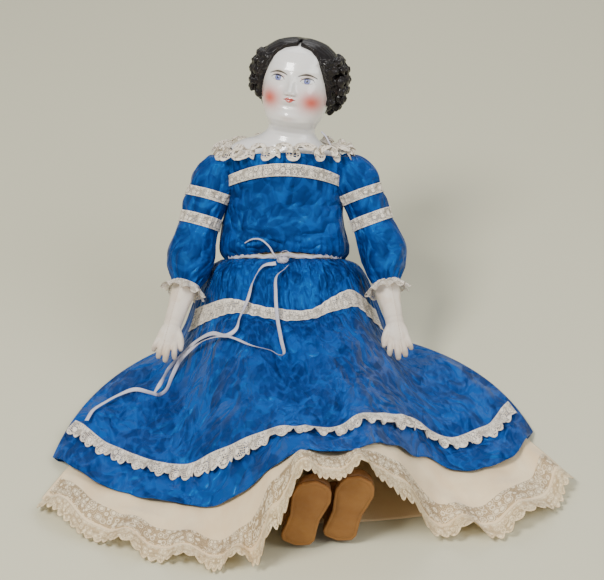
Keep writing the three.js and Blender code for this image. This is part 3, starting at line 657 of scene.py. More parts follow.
def face_paint(x, y, z):
    """The fired colours of the face, and a painted highlight in each eye, at a place in the head's own frame.
    """
    side = np.abs(x)
    rgb = np.broadcast_to(np.array(FACE_SKIN), (*x.shape, 3)).copy()
    front = smooth((-y - 6) / 12)

    def lay(colour, cover):
        nonlocal rgb
        rgb = lerp(rgb, np.array(colour), (np.clip(cover, 0, 1) * front)[..., None])

    def inside(distance, soft=0.35):
        return smooth(0.5 - distance / (2 * soft))

    blush = np.exp(-(np.hypot((side - 25.5) / 14.5, (z - 71) / 12.5) ** 2) * 1.05)
    lay((0.66, 0.045, 0.016), 0.94 * blush)
    lay((0.80, 0.52, 0.42), 0.22 * np.exp(-((side - 18) / 8) ** 2 - ((z - 103) / 3) ** 2))
    lay((0.75, 0.40, 0.32), 0.2 * np.exp(-(x / 8) ** 2 - ((z - 49) / 4) ** 2))
    # eyes
    u = side - 17.8
    lift = 0.05 * u
    arch = 3.5 * np.sqrt(np.clip(1 - (u / 7.6) ** 2, 0, 1))
    low = -3.0 * np.sqrt(np.clip(1 - (u / 7.6) ** 2, 0, 1))
    v = z - 95.4 - lift
    open_eye = inside(np.maximum(v - arch, low - v), 0.3) * inside(np.abs(u) - 7.4, 0.3)
    lay((0.80, 0.80, 0.80), open_eye)
    iris = np.hypot(u + 0.2, v - 0.35)
    lay((0.07, 0.08, 0.28), open_eye * inside(iris - 3.7))
    lay((0.21, 0.24, 0.50), open_eye * inside(iris - 2.9))
    lay((0.005, 0.005, 0.008), open_eye * inside(iris - 1.35, 0.25))
    # painted highlight: a small white glint dot laid on each iris
    lay((0.95, 0.95, 0.97), open_eye * inside(np.hypot(u + 0.9, v - 1.2) - 0.5, 0.2))
    lash = np.abs(v - arch) - lerp(1.15, 0.6, smooth(np.abs(u) / 8))
    lay((0.02, 0.010, 0.008), inside(lash) * inside(np.abs(u) - 8.4, 0.4))
    lay((0.20, 0.09, 0.07), 0.75 * inside(np.abs(v - low) - 0.22) * inside(np.abs(u) - 6.4, 0.6))
    lay((0.60, 0.16, 0.11), 0.8 * inside(np.abs(v - arch - 2.0) - 0.20) * inside(np.abs(u) - 7.0, 0.8))
    # brows
    brow = 98.6 + 4.6 * np.cos((side - 17) / 8.5)
    thick = lerp(1.35, 0.55, smooth(np.abs(side - 17) / 11.5))
    lay((0.03, 0.014, 0.010), 0.97 * inside(np.abs(z - brow) - thick) * inside(np.abs(side - 17.5) - 11, 0.8))
    # nostrils, mouth
    lay((0.45, 0.05, 0.035), 0.75 * np.exp(-((side - 2.7) / 1.1) ** 2 - ((z - 77.0) / 0.75) ** 2))
    bow = 1.9 + 1.1 * bump(side, 2.3, 2.0) - 0.7 * bump(x, 0, 0.9)
    upper = inside(np.maximum(z - 71.8 - bow * (1 - (side / 7.8) ** 2), 71.5 - z)) * inside(side - 7.6, 0.4)
    lower = inside(np.maximum(71.7 - 3.3 * (1 - (side / 5.4) ** 2) - z, z - 71.8)) * inside(side - 5.2, 0.4)
    lay((0.50, 0.022, 0.012), 0.96 * upper)
    lay((0.58, 0.04, 0.02), 0.92 * lower)
    lay((0.12, 0.006, 0.006), 0.95 * inside(np.abs(z - 71.7 + 0.02 * side) - 0.3) * inside(side - 6.6, 0.5))
    lay((0.55, 0.04, 0.03), 0.7 * np.exp(-((side - 10.5) / 0.8) ** 2 - ((z - 98.0) / 0.8) ** 2))
    return rgb


def hair_edge(z):
    """Half width of the bare face between the hair at a height."""
    return np.interp(z, [52, 60, 70, 80, 94, 105, 119, 124, 130, 132, 134.5],
                     [52, 46, 41, 39, 36.5, 33, 27, 23.5, 16, 10, 0])


def hair_cover(x, y, z, soft=1.4):
    """1 where hair grows on the skull and 0 on bare skin."""
    side = np.abs(x)
    front = smooth((side - hair_edge(z)) / soft + 0.5)
    behind = smooth((y - 2) / 8)
    cover = np.maximum(front, behind)
    low = np.interp(y, [-30, 0, 20, 45], [70, 66, 54, 46])
    cover = cover * smooth((z - low) / 3 + 0.5)
    top = smooth((z - 118) / 6) * smooth((12 - y) / 10)
    parting = smooth((side - 0.9) / 0.9)
    return lerp(cover, cover * parting, top)


def head_rows(table, turn, heights):
    across, front, behind = read(table[::-1], heights, 1.1)
    squeeze = 0.06 * np.cos(2 * turn)
    reach = lerp(behind, front, smooth(0.5 + 0.9 * np.cos(turn)))
    x = across * np.sin(turn) * (1 + squeeze)
    y = -reach * np.cos(turn)
    return x, y


def china_skin():
    u = np.linspace(0, 1, 400, endpoint=False)
    turn = (TAU * u - 0.62 * np.sin(TAU * u))[:, None]
    heights = np.concatenate([np.linspace(137.4, 112, 34), np.linspace(111.4, 50, 118),
                              np.linspace(49, 17, 40)])[None, :]
    x, y = head_rows(SKIN, turn, heights)
    near = smooth((np.cos(turn) + 0.15) / 0.6) * smooth((heights - 46) / 8)
    sides = [spots_at(x, y - face_relief(x, heights) * near, heights)]
    shares = np.linspace(0.04, 1, 26)[None, :]
    across, deep = read(PLATE, shares, 0.05)
    bust = 1.6 * bump(np.sin(turn), 0.45, 0.25) * bump(shares, 0.7, 0.4) * smooth(np.cos(turn) * 3)
    sides.append(spots_at(across * np.sin(turn) - PLATE_LEAN * shares, -(deep + bust) * np.cos(turn),
                          plate_row(shares, turn)))
    for share in (1, 0.6, 0.2):
        wall = 4.0 if share < 1 else 3.6
        across, deep = read(PLATE, np.array([[share]]))
        inset = 0 if share == 1 else 2
        sides.append(spots_at((across - wall) * np.sin(turn) - PLATE_LEAN * share,
                              -(deep - wall) * np.cos(turn), plate_row(share, turn) - inset))
    for height in (18, 24, 30, 44, 60, 90, 120):
        x, y = head_rows(SKIN, turn, np.array([[height]]))
        shrink = 1 - 4.2 / np.hypot(x, y)
        sides.append(spots_at(x * shrink, y * shrink, height))
    flat, faces = capped(np.concatenate(sides, 1), 0.15, 6)
    obj = mesh("china_head_skin", moved(HEAD, *flat.T), faces)
    painted(obj, face_paint(*flat.T))
    return outward(obj)


def hair_cap():
    """The modelled hair: combed from a parting, sunk into the skull wherever the skin is bare."""
    turn = np.linspace(0, TAU, 300, endpoint=False)[:, None]
    share = np.linspace(0, 1, 150)[None, :]
    heights = lerp(137.4, 40, share ** 1.15)
    x, y = head_rows(SKIN, turn, heights)
    comb = 0.28 * np.sin(y * 1.25 + 0.05 * heights) + 0.16 * np.sin(y * 2.9 + 0.9)
    body = np.interp(heights, [44, 52, 60, 70, 100, 112, 126, 137], [1.0, 2.5, 4.5, 6.0, 6.5, 6.0, 5.2, 5.0])
    lift = lerp(-3.2, body + comb * smooth((heights - 112) / 14), hair_cover(x, y, heights, 2.0))
    slope = np.clip((heights - 118) / 19.5, 0, 1)
    grow = 1 + lift * (1 - 0.55 * slope) / (np.hypot(x, y) + 1e-6)
    return outward(mesh("hair_cap", *capped(spots_at(x * grow, y * grow, heights + lift * slope))))


def curl(centre, normal, size, twist):
    """One moulded ringlet seen end on: a coil about a core, standing along the normal."""
    normal = unit(normal)
    side = unit(np.cross(normal, (0.3, 0.2, 1.0)))
    upward = np.cross(side, normal)
    points, faces = [], []
    arcs, ring = 26, 7
    for i in range(arcs):
        share = i / (arcs - 1)
        angle = twist + share * TAU * 1.55
        reach = size * lerp(1.0, 0.16, share)
        rise = size * lerp(0.0, 0.75, share)
        tube = size * lerp(0.44, 0.32, share)
        spoke = math.cos(angle) * side + math.sin(angle) * upward
        core = centre + reach * spoke + rise * normal
        for j in range(ring):
            turn = TAU * j / ring
            points.append(core + tube * (math.cos(turn) * spoke + math.sin(turn) * normal))
    for i in range(arcs - 1):
        for j in range(ring):
            a, b = i * ring + j, i * ring + (j + 1) % ring
            faces.append([a, b, b + ring, a + ring])
    faces += [list(range(ring))[::-1], [len(points) - ring + j for j in range(ring)]]
    return points, faces


def ball(centre, radius, rings=6, segments=10):
    points = [centre + (0, 0, radius)]
    for i in range(1, rings):
        polar = math.pi * i / rings
        for j in range(segments):
            turn = TAU * j / segments
            points.append(centre + radius * np.array([math.sin(polar) * math.cos(turn),
                                                      math.sin(polar) * math.sin(turn), math.cos(polar)]))
    points.append(centre - (0, 0, radius))
    faces = [[0, 1 + (j + 1) % segments, 1 + j] for j in range(segments)]
    for i in range(rings - 2):
        for j in range(segments):
            a, b = 1 + i * segments + j, 1 + i * segments + (j + 1) % segments
            faces.append([a, b, b + segments, a + segments])
    last = len(points) - 1
    faces += [[last, last - segments + j, last - segments + (j + 1) % segments] for j in range(segments)]
    return points, faces


def moulded_hair():
    cap = hair_cap()
    random = np.random.default_rng(12)
    points, faces = [], []

    def add(more, corners):
        faces.extend([[len(points) + c for c in corner] for corner in corners])
        points.extend(more)

    for row, height in enumerate((116, 106.5, 97, 87.5, 78, 68.5, 60, 52.5)):
        for n in range(CURLS_ROUND):
            angle = TAU * (n + 0.5 * (row % 2)) / CURLS_ROUND
            turn, up = angle + random.uniform(-0.05, 0.05), height + random.uniform(-1.2, 1.2)
            x, y = head_rows(SKIN, np.array([[turn]]), np.array([[up]]))
            x, y = float(x[0, 0]), float(y[0, 0])
            side = abs(x)
            bare = hair_cover(side, y, up) < 0.9 or (y < 0 and side < hair_edge(up) + 1.5)
            if bare or (up > 112 and y < -24) or (up < 66 and y < 22):
                continue
            fullness = np.interp(up, [50, 62, 80, 100, 118], [7.0, 11.5, 15.5, 15.5, 9.0])
            fullness *= np.interp(y, [-34, -14], [0.74, 1.0])
            fullness += 4.5 * (x > 0) * bump(up, 92, 22) * smooth((y + 30) / 20)
            normal = np.array([x, y, np.interp(up, [50, 85, 118], [-14, 0, 26])])
            spot = np.array([x, y, up]) + unit(normal) * (fullness - 3.5)
            size = random.uniform(5.0, 6.4)
            add(*curl(spot, normal + random.uniform(-6, 6, 3), size, random.uniform(0, TAU)))
            add(*ball(spot - unit(normal) * 3.0, size * 1.02))
    turns = np.linspace(0.25, 1.5, 250)[:, None]
    for up in np.arange(116, 68, -6.4):
        across, deep = head_rows(SKIN, turns, np.array([[up]]))
        for sign in SIDES.values():
            n = int(np.argmin(np.abs(across[:, 0] - hair_edge(up) - 3.8)))
            normal = np.array([sign * 0.55, -0.75, 0.25])
            spot = np.array([sign * across[n, 0], deep[n, 0], up]) + normal * 6.5
            add(*curl(spot, normal + random.uniform(-0.15, 0.15, 3), random.uniform(4.8, 5.6),
                      random.uniform(0, TAU)))
            add(*ball(spot - normal * 2.5, 5.0))
    curls = mesh("curls", np.array(points), faces)
    hair = remeshed(merged("moulded_hair", [cap, outward(curls)]), 0.95, rounds=2, factor=0.35)
    local = points_of(hair)
    tone = 0.5 + 0.5 * noise(local[:, 0] / 3 + 10, local[:, 2] / 3 + 10, 5)
    painted(hair, lerp(np.array(BLACK), np.array((0.022, 0.016, 0.012)), (tone ** 3)[:, None]))
    put_points(hair, moved(HEAD, *local.T))
    return hair


finished(china_skin(), CHINA, "china", "torso", "china_shoulder_head")
finished(moulded_hair(), HAIR, "china", "torso")


# ---- stuffed body ----------------------------------------
SEAT_TOP = 3.7
BODY = [
    (14, 36, 22), (22, 58, 31), (40, 70, 37), (60, 72, 40), (95, 60, 40), (120, 52, 36),
    (160, 54, 38), (205, 56, 39), (228, 54, 37), (237, 44, 29), (239, 28, 18),
]


def stuffed(name, rows, segments, count, place, seed, lumps=0.9):
    """A cloth skin packed tight: a smooth body with soft lumps in it."""
    def lumpy(columns, turn):
        along = columns[0]
        lump = lumps * noise(2.2 * np.cos(turn) + along / 26, 2.2 * np.sin(turn) + along / 31, seed)
        return place(along, columns[1] + lump, columns[2] + lump, turn)
    return outward(ring_solid(name, rows, segments, lumpy, count))


def torso():
    def place(along, across, deep, turn):
        spots = about_spine(turn, across, deep, along)
        spots[..., 2] = np.maximum(spots[..., 2], SEAT_TOP + 0.2 + along / 40)
        return spots
    obj = stuffed("stuffed_body", BODY, 96, 90, place, 3)
    finished(obj, MUSLIN, "muslin", "torso", "stuffed_torso")


def upper_arm(side):
    length = UPPER_LENGTH[side]
    rows = [(-15, 2, 2), (-12.5, 8, 8), (-8, 13, 13), (0, 15.5, 15.5), (20, 16, 16), (60, 15, 15),
            (length - 25, 14, 14), (length - 18, 10, 10), (length - 13, 4, 4)]

    def place(along, across, deep, turn):
        return moved(UPPER[side], across * np.sin(turn), deep * np.cos(turn), along)
    obj = stuffed(f"stuffed_upper_arm_{side}", rows, 56, 60, place, 11 + SIDES[side], 0.5)
    finished(obj, MUSLIN, "muslin", f"upper_arm_{side}", f"upper_arm_{side}")


def leg_frame(side):
    ankle = np.array(HEEL[side]) + (0, 12, 22)
    return frame_along(HIP[side], ankle), float(np.linalg.norm(ankle - np.array(HIP[side])))


def leg(side):
    matrix, length = leg_frame(side)
    end = length - 34
    rows = [(2, 17, 4), (5, 20, 6), (10, 24, 10), (24, 28, 20), (45, 33, 31), (70, 32, 34), (95, 31, 31),
            (140, 28, 28), (165, 27, 27), (220, 25, 25), (end - 30, 20, 20), (end - 2, 18, 18), (end, 15, 15)]

    def place(along, across, deep, turn):
        spots = moved(matrix, across * np.sin(turn), deep * np.cos(turn), along)
        spots[..., 2] = np.maximum(spots[..., 2], SEAT_TOP + 0.5)
        return spots
    obj = stuffed(f"stuffed_leg_{side}", rows, 72, 110, place, 21 + SIDES[side], 0.6)
    finished(obj, MUSLIN, "muslin", f"leg_{side}", f"leg_{side}")


# ---- leather boots ----------------------------------------
FOOT_LENGTH = 104
SOLE_PROFILE = [  # inset from the edge, depth below the upper; the dip is the line of stitches
    (0.0, 0.4), (0.0, 2.9), (0.35, 3.6), (1.1, 3.9), (2.6, 3.88), (3.0, 3.62), (3.4, 3.62),
    (3.8, 3.88), (8, 3.95), (13, 3.97),
]
LAST = [  # share of the foot's length, half width, height of the upper above the sole
    (0, 6, 12), (0.012, 11, 20), (0.03, 14, 26), (0.12, 17.5, 38), (0.3, 16, 42), (0.45, 15.5, 38),
    (0.6, 18, 28), (0.75, 20, 22), (0.88, 17.5, 18), (0.96, 12, 13), (0.99, 8, 10.5), (1, 5, 8),
]


def foot_frame(side):
    up = unit((0.22, -0.19, 0.957))
    away = unit(np.array((0, 1, 0)) - up[1] * up)
    return basis(np.cross(away, up), away, up, HEEL[side])


def boot(side):
    matrix = foot_frame(side)

    def upper(columns, turn):
        share, across, high = columns
        lift = high * np.clip(-np.cos(turn), 0, 1) ** 0.8
        return moved(matrix, across * np.sin(turn), lift, share * FOOT_LENGTH)

    def shaft(columns, turn):
        along, radius, _ = columns
        wrinkle = 0.5 * np.sin(along / 2.4 + np.cos(turn) * 2)
        spots = moved(shin, (radius + wrinkle) * np.sin(turn), (radius + wrinkle) * np.cos(turn), along)
        spots[..., 2] = np.maximum(spots[..., 2], SEAT_TOP + 0.8)
        return spots
    shin, length = leg_frame(side)
    start = length - 33.4
    parts = [
        ring_solid("upper", LAST, 64, upper, 90),
        ring_solid("shaft", [(start, 17, 0), (start, 19.2, 0), (start + 3, 19.6, 0), (start + 5, 19, 0),
                             (length - 8, 18, 0), (length + 2, 12, 0)], 64, shaft, 50),
    ]
    obj = remeshed(merged(f"boot_upper_{side}", [outward(p) for p in parts]), 1.1, 3)
    finished(obj, BOOT, "boot_leather", f"leg_{side}", f"boot_{side}")


def sole(side):
    matrix = foot_frame(side)
    shares = np.concatenate([np.linspace(0, 0.06, 14), np.linspace(0.07, 0.93, 70), np.linspace(0.94, 1, 14)])
    half, _ = read(LAST, shares, 0.012)
    half = (half + 0.7) * np.clip(np.sqrt(np.clip(shares * 22, 0, 1)), 0.15, 1)
    half *= np.clip(np.sqrt(np.clip((1 - shares) * 18, 0, 1)), 0.15, 1)
    across = np.concatenate([half, -half[::-1]])
    along = np.concatenate([shares, shares[::-1]]) * FOOT_LENGTH
    rings = []
    for inset, depth in SOLE_PROFILE:
        keep = np.clip(1 - inset / (np.abs(across) + 1.0), 0.05, 1)
        inwards = FOOT_LENGTH / 2 + (along - FOOT_LENGTH / 2) * (1 - inset / 52)
        rings.append(moved(matrix, across * keep, -depth, inwards))
    obj = outward(mesh(f"sole_leather_{side}", *flat_ended(np.stack(rings, 1))))
    finished(obj, SOLE, "sole_leather", f"leg_{side}", f"boot_sole_{side}")


torso()
for SIDE in SIDES:
    upper_arm(SIDE)
    leg(SIDE)
    boot(SIDE)
    sole(SIDE)


# ---- skirt, petticoat and the lace on them ----------------------------------------
CREST = [(-420, 100), (-388, 111), (-360, 108), (-345, 105), (-250, 86), (-120, 86), (-50, 95), (0, 118),
         (60, 118), (120, 100)]
SKIRT_SPAN = math.radians(115)
WAIST_SPINE, WAIST_RISE, WAIST_FALL = 126.2, 12, 62
WAIST_MIDDLE = (0, 44)
TOP_GATHERS, UNDER_GATHERS = 44, 62
SKIRT_HEM = [
    (-1, -264, -204), (-0.8, -214, -256), (-0.6, -152, -286), (-0.4, -95, -298), (-0.2, -28, -326),
    (0, 35, -348), (0.15, 78, -342), (0.35, 125, -285), (0.5, 164, -238), (0.7, 215, -240),
    (0.85, 262, -222), (1, 292, -154),
]
PETTICOAT_HEM = [
    (-1, -274, -292), (-0.8, -226, -342), (-0.6, -150, -380), (-0.4, -75, -402), (-0.2, -25, -400),
    (0, 22, -394), (0.1, 45, -392), (0.2, 72, -388), (0.35, 105, -372), (0.5, 150, -352),
    (0.7, 240, -350), (0.85, 305, -298), (1, 328, -240),
]
SKIRT = {"hem": SKIRT_HEM, "waist": 76, "deep": 52, "bow": (68, 72), "top": 11.4, "side": 5, "under": 0,
         "behind": 106, "back_hem": -215, "cut": 1.0, "wave": (6.0, 19, 0.84)}
PETTICOAT = {"hem": PETTICOAT_HEM, "waist": 72, "deep": 48, "bow": (14, 62), "top": 5.8, "side": 3.4,
             "under": 1.9, "behind": 100, "back_hem": -335, "cut": 0.968, "wave": (19.0, 34, 0.76)}


def drape(x, y):
    forward = np.maximum(-y, 0)
    crest, = read(CREST, y, 14)
    flat = 54 - 0.075 * forward
    fall = 100 - 0.077 * forward + 50 * np.sin(np.minimum(forward / 388, 1) * math.pi)
    share = np.clip((np.abs(x - 0.155 * forward) - flat) / fall, 0, 1)
    return crest * (0.5 + 0.5 * np.cos(share * math.pi))


def waist_point(garment, angle):
    along = WAIST_SPINE + WAIST_RISE * np.cos(angle)
    return about_spine(angle, garment["waist"], garment["deep"], along)


def top_point(garment, fan, share):
    fan, share = np.broadcast_arrays(fan, share)
    start = waist_point(garment, fan * SKIRT_SPAN)
    end_x, end_y = read(garment["hem"], fan, 0.022)
    outward_bow = np.abs(fan) ** 3
    middle_x = (start[..., 0] + end_x) / 2 + np.sign(fan) * garment["bow"][0] * outward_bow
    middle_y = (start[..., 1] + end_y) / 2 + garment["bow"][1] * outward_bow
    keep = 1 - share
    x = keep ** 2 * start[..., 0] + 2 * keep * share * middle_x + share ** 2 * end_x
    y = keep ** 2 * start[..., 1] + 2 * keep * share * middle_y + share ** 2 * end_y
    edge = smooth((np.abs(fan) - 0.93) / 0.07)
    lying = lerp(drape(x, y) + garment["top"], garment["side"], edge)
    away = np.hypot(x - start[..., 0], y - start[..., 1])
    return spots_at(x, y, lerp(start[..., 2], lying, smooth(away / WAIST_FALL)))


def under_point(garment, across, share):
    across, share = np.broadcast_arrays(across, share)
    right, left = top_point(garment, 1, share), top_point(garment, -1, share)
    turned = waist_point(garment, lerp(SKIRT_SPAN, TAU - SKIRT_SPAN, across))
    behind, back = garment["behind"], garment["back_hem"]
    rear = np.where(share < 0.12, lerp(88, behind, share / 0.12), lerp(behind, back, (share - 0.12) / 0.88))
    bulge = np.sin(across * math.pi) ** 0.7
    settled = smooth(share / 0.12)
    x = lerp(turned[..., 0], lerp(right[..., 0], left[..., 0], across), settled)
    y = lerp(turned[..., 1], lerp(lerp(right[..., 1], left[..., 1], across), rear, bulge), settled)
    return spots_at(x, y, lerp(turned[..., 2], garment["under"], smooth(share / 0.15)))


def folds(x, y):
    """The folds that both skirts share, in ridges that run out from the waist."""
    dx, dy = x - 8, -(y - 55)
    angle, away = np.arctan2(dx, dy), np.hypot(dx, dy)
    grow = smooth((away - 70) / 240)
    broad = noise(angle * 4.2, away / 260, 31)
    fine = noise(angle * 10.5, away / 150, 32)
    ridge = 1 - 2 * np.abs(noise(angle * 7, away / 190, 33))
    return grow * (7.5 * broad + 4.2 * fine + 5.0 * (ridge - 0.3))


def gathers(fan, share, seed, count):
    """Small pleats where the cloth is drawn up at the waist."""
    phase = fan * count + 1.1 * noise(fan * 9, share * 4, seed)
    sharp = 1 - np.abs(np.sin(phase))
    return 3.3 * (sharp - 0.4) * np.exp(-share / 0.15) * smooth((share + 0.004) / 0.03)


def pleated(spots, pleat):
    """Moves points out from the middle of the waist by their pleats."""
    spots[..., :2] += unit(spots[..., :2] - np.array(WAIST_MIDDLE)) * pleat[..., None]


def skirt_surface(garment, fan, share, seed):
    """A place on the finished cloth's upper face, folds and all."""
    spots = top_point(garment, fan, share)
    low = smooth((spots[..., 2] - 5) / 26)
    lift = folds(spots[..., 0], spots[..., 1]) * lerp(0.32, 1.0, low)
    crumple = noise(spots[..., 0] / 17, spots[..., 1] / 21, 40 + seed)
    crumple2 = noise(spots[..., 0] / 42, spots[..., 1] / 33, 44 + seed)
    sharp = 1 - 2 * np.abs(noise(spots[..., 0] / 36, spots[..., 1] / 47, 47))
    lift = lift + (crumple + 1.8 * crumple2 + 2.0 * (sharp - 0.3)) * smooth(share / 0.2)
    high, count, begin = garment["wave"]
    swell = 0.5 + 0.5 * np.sin(fan * count + 2.4 * noise(fan * 4, 0, 52 + seed))
    lift = lift + high * (swell ** 1.6 - 0.06) * smooth((share - begin) / (1.04 - begin))
    spots[..., 2] += lift * smooth((1.0 - np.abs(fan)) / 0.08)
    pleated(spots, gathers(fan, share, 50 + seed, TOP_GATHERS))
    spots[..., 2] = np.maximum(spots[..., 2], garment["side"] - 1.2)
    return spots


def full_skirt(name, garment, columns, rows, seed):
    """The whole tube of one skirt: over the legs, round the side folds and back under the seat."""
    near, far = np.linspace(0, 0.24, rows // 3)[:-1], np.linspace(0.24, 1, rows - rows // 3)
    shares = np.concatenate([near, far])[None, :] * garment["cut"]
    fan = np.linspace(-1, 1, columns)[:, None]
    top = skirt_surface(garment, fan, shares, seed)
    across = np.linspace(0.012, 0.988, columns // 3)[:, None]
    under = under_point(garment, across, shares)
    pleated(under, gathers(across * 1.2, shares, 60 + seed, UNDER_GATHERS) * (1 - smooth(shares / 0.14)))
    return grid(name, np.concatenate([top, under], 0), (1.15, 0.40), wrap=True)


def skirt_blend(obj):
    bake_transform(obj)


def skirt():
    obj = full_skirt("silk_skirt", SKIRT, 520, 150, 1)
    thicken(obj, CLOTH_THICKNESS)
    finished(obj, SILK, "silk", None, "skirt", "skirt_back_breadth")
    skirt_blend(obj)


def petticoat():
    obj = full_skirt("cotton_petticoat", PETTICOAT, 560, 150, 2)
    thicken(obj, CLOTH_THICKNESS)
    finished(obj, COTTON, "cotton", None, "petticoat")
    skirt_blend(obj)


def skirt_trim(name, node, garment, shares, seed, material, slot, flat, lift, frill=0.0, waves=0, edge=0.985):
    """A strip of lace on a skirt; frill is how far its free edge stands and sways."""
    fan = np.linspace(-edge, edge, 900)[:, None]
    v = np.linspace(0, 1, 14)[None, :]
    share = lerp(shares[0], shares[1], v)
    spots = skirt_surface(garment, fan, share, seed)
    phase = fan * waves + 1.6 * noise(fan * 11, 0, 70 + seed)
    normal = np.cross(np.gradient(spots, axis=0), np.gradient(spots, axis=1))
    normal *= np.sign(normal[..., 2:]) / np.linalg.norm(normal, axis=-1, keepdims=True)
    spots = spots + normal * (lift + frill * v * (1.0 + np.sin(phase)))[..., None]
    spots[..., :2] += (0.9 * frill * v * np.cos(phase) * 0.6)[..., None]
    obj = grid(name, spots, (flat[0], 1.0))
    thicken(obj, LACE_THICKNESS, 0)
    finished(obj, material, slot, None, node)
    skirt_blend(obj)


skirt()
petticoat()
skirt_trim("skirt_upper_lace", "skirt_insertion_lace", SKIRT, (0.155, 0.205), 1, LACE, "lace",
           (0.50, 0.016), lift=1.3, frill=0.5, waves=90, edge=0.80)
skirt_trim("skirt_lower_ruffle", "skirt_lace_ruffle", SKIRT, (0.808, 0.885), 1, LACE_EDGE, "lace",
           (0.72, 0.022), lift=1.2, frill=3.4, waves=88)
skirt_trim("petticoat_lace_insertion", "petticoat_insertion_lace", PETTICOAT, (0.882, 0.942), 2,
           PETTI_LACE, "lace", (0.80, 0.024), lift=1.1)
skirt_trim("petticoat_scalloped_edging", "petticoat_edging", PETTICOAT, (0.952, 1.006), 2,
           EDGING, "edging", (0.88, 0.022), lift=1.2, frill=0.9, waves=70)


# ---- bodice and waist ----------------------------------------
BODICE = [  # up the spine, half width, half depth
    (134.5, 69, 52), (138, 78, 58), (146, 79, 60), (160, 76, 60), (185, 72, 59), (205, 70, 57),
    (220, 70, 54.5), (245, 72, 51.5), (255, 73, 50),
]
ARMHOLE = 17
CHEST_SPAN = math.radians(66)


def neck_rise(turn):
    return 11 * np.cos(turn) ** 2


def bodice_surface(turn, along, out=0.0, folded=1.0):
    across, deep = read(BODICE, along, 5)
    rise = smooth((along - 200) / 50) * neck_rise(turn)
    rise = rise + (1 - smooth((along - 134) / 60)) * WAIST_RISE * np.cos(turn)
    low, high = smooth((172 - along) / 34), smooth((along - 226) / 20)
    pleat = 1 - np.abs(np.sin(turn * 26 + 1.6 * noise(turn * 5, along / 40, 81)))
    pleat2 = 1 - np.abs(np.sin(turn * 19 + 1.4 * noise(turn * 6, along / 30, 82)))
    broad = noise(turn * 3.6, along / 34, 83)
    rise = rise - 8 * np.sin(turn) ** 2 * smooth((160 - along) / 26)
    lift = folded * (2.4 * (pleat - 0.35) * low + 2.0 * (pleat2 - 0.35) * high + 2.2 * broad) + out
    return about_spine(turn, across + lift, deep + lift, along + rise)


def open_armholes(work):
    shoulder = SHOULDER["left"][1:] * MM
    gone = [f for f in work.faces if math.dist(f.calc_center_median()[1:], shoulder) < ARMHOLE * MM]
    bmesh.ops.delete(work, geom=gone, context="FACES")


def bodice():
    turn = np.linspace(-math.pi, math.pi, 460, endpoint=False)[:, None]
    along = np.linspace(134.5, 254.5, 110)[None, :]
    obj = grid("silk_bodice", bodice_surface(turn, along), (0.46, 0.125), wrap=True)
    reworked(obj, open_armholes)
    thicken(obj, CLOTH_THICKNESS)
    finished(obj, SILK, "silk", "torso", "bodice")


def band_round_body(name, node, surface, span, material, slot, flat):
    """A strip about the spine; span is how far it reaches to each side of the front."""
    closed = span >= math.pi
    turn = np.linspace(-span, span, 500, endpoint=not closed)[:, None]
    obj = grid(name, surface(turn, np.linspace(0, 1, 12)[None, :]), (flat[0], 1.0), wrap=closed)
    thicken(obj, STRIP_THICKNESS, 0)
    finished(obj, material, slot, "torso", node)


def chest_strip(turn, v):
    along = lerp(243, 231, v) - 11 * (turn / CHEST_SPAN) ** 2
    return bodice_surface(turn, along, 2.3, 0.75)


def waist_strip(low, high, across, deep):
    def surface(turn, v):
        rough = 0.5 * np.sin(turn * 31)
        along = lerp(low, high, v) + WAIST_RISE * np.cos(turn)
        along = along + 0.9 * np.sin(turn * 9 + 1) + 0.5 * np.sin(turn * 23)
        return about_spine(turn, across + rough, deep + rough, along)
    return surface


def neck_ruffle():
    """Gathered lace that stands at the neckline and falls outwards in round loops."""
    turn = np.linspace(0, TAU, 1700, endpoint=False)[:, None]
    v = np.linspace(0, 1, 28)[None, :]
    phase = turn * 18 + 0.9 * noise(turn * 4, 0, 95)
    open_out = smooth(v * 1.25)
    turned = turn + open_out * 0.075 * np.sin(2 * phase)
    beside = np.sin(turn) ** 4
    across = lerp(66, 74, smooth(np.abs(np.sin(turn)))) + (17 - 6 * beside) * v
    deep = 42.5 + 18 * v
    swing = open_out * (5.0 - 2.5 * beside) * np.sin(phase)
    fall = 8.5 * np.sin(v * 2.0) - 15 * v ** 1.6
    along = 260 + fall + beside * v * 5 + open_out * 6.4 * np.cos(phase) + neck_rise(turn)
    along = along + 1.0 * noise(turn * 12, v * 2, 96)
    spots = about_spine(turned, across + swing, deep + swing, along)
    obj = grid("neck_ruffle", spots, (0.70, 1.0), wrap=True)
    thicken(obj, LACE_THICKNESS, 0)
    finished(obj, LACE_EDGE, "lace", "torso", "neck_lace_ruffle")


bodice()
band_round_body("waistband", "petticoat_waistband", waist_strip(125.5, 137, 67, 44), math.pi,
                COTTON, "cotton", (0.36, 0.012))
band_round_body("beading_lace", "waist_beading_lace", waist_strip(127.0, 132.6, 71.0, 53.0), math.pi,
                LACE, "lace", (0.34, 0.010))
band_round_body("ribbon_round_waist", "waist_ribbon", waist_strip(128.2, 131.4, 72.0, 54.0), math.pi,
                RIBBON, "ribbon", (0.43, 0.005))
band_round_body("chest_lace", "chest_insertion_lace", chest_strip, CHEST_SPAN, LACE, "lace", (0.165, 0.014))
neck_ruffle()


# ---- sleeves ----------------------------------------
SLEEVE = [  # down the arm from the shoulder, radius on the outer side, radius on the inner side
    (-22, 4, 24), (-14, 14, 27), (-6, 21, 28), (3, 26, 28), (16, 30, 27), (34, 30, 22), (52, 30, 18),
    (68, 30, 18), (82, 31, 18.5), (98, 31, 20), (115, 31, 22), (132, 28, 22), (143, 22, 20),
    (148, 18, 17.5), (170, 15, 15),
]
SLEEVE_TOP = 255.5


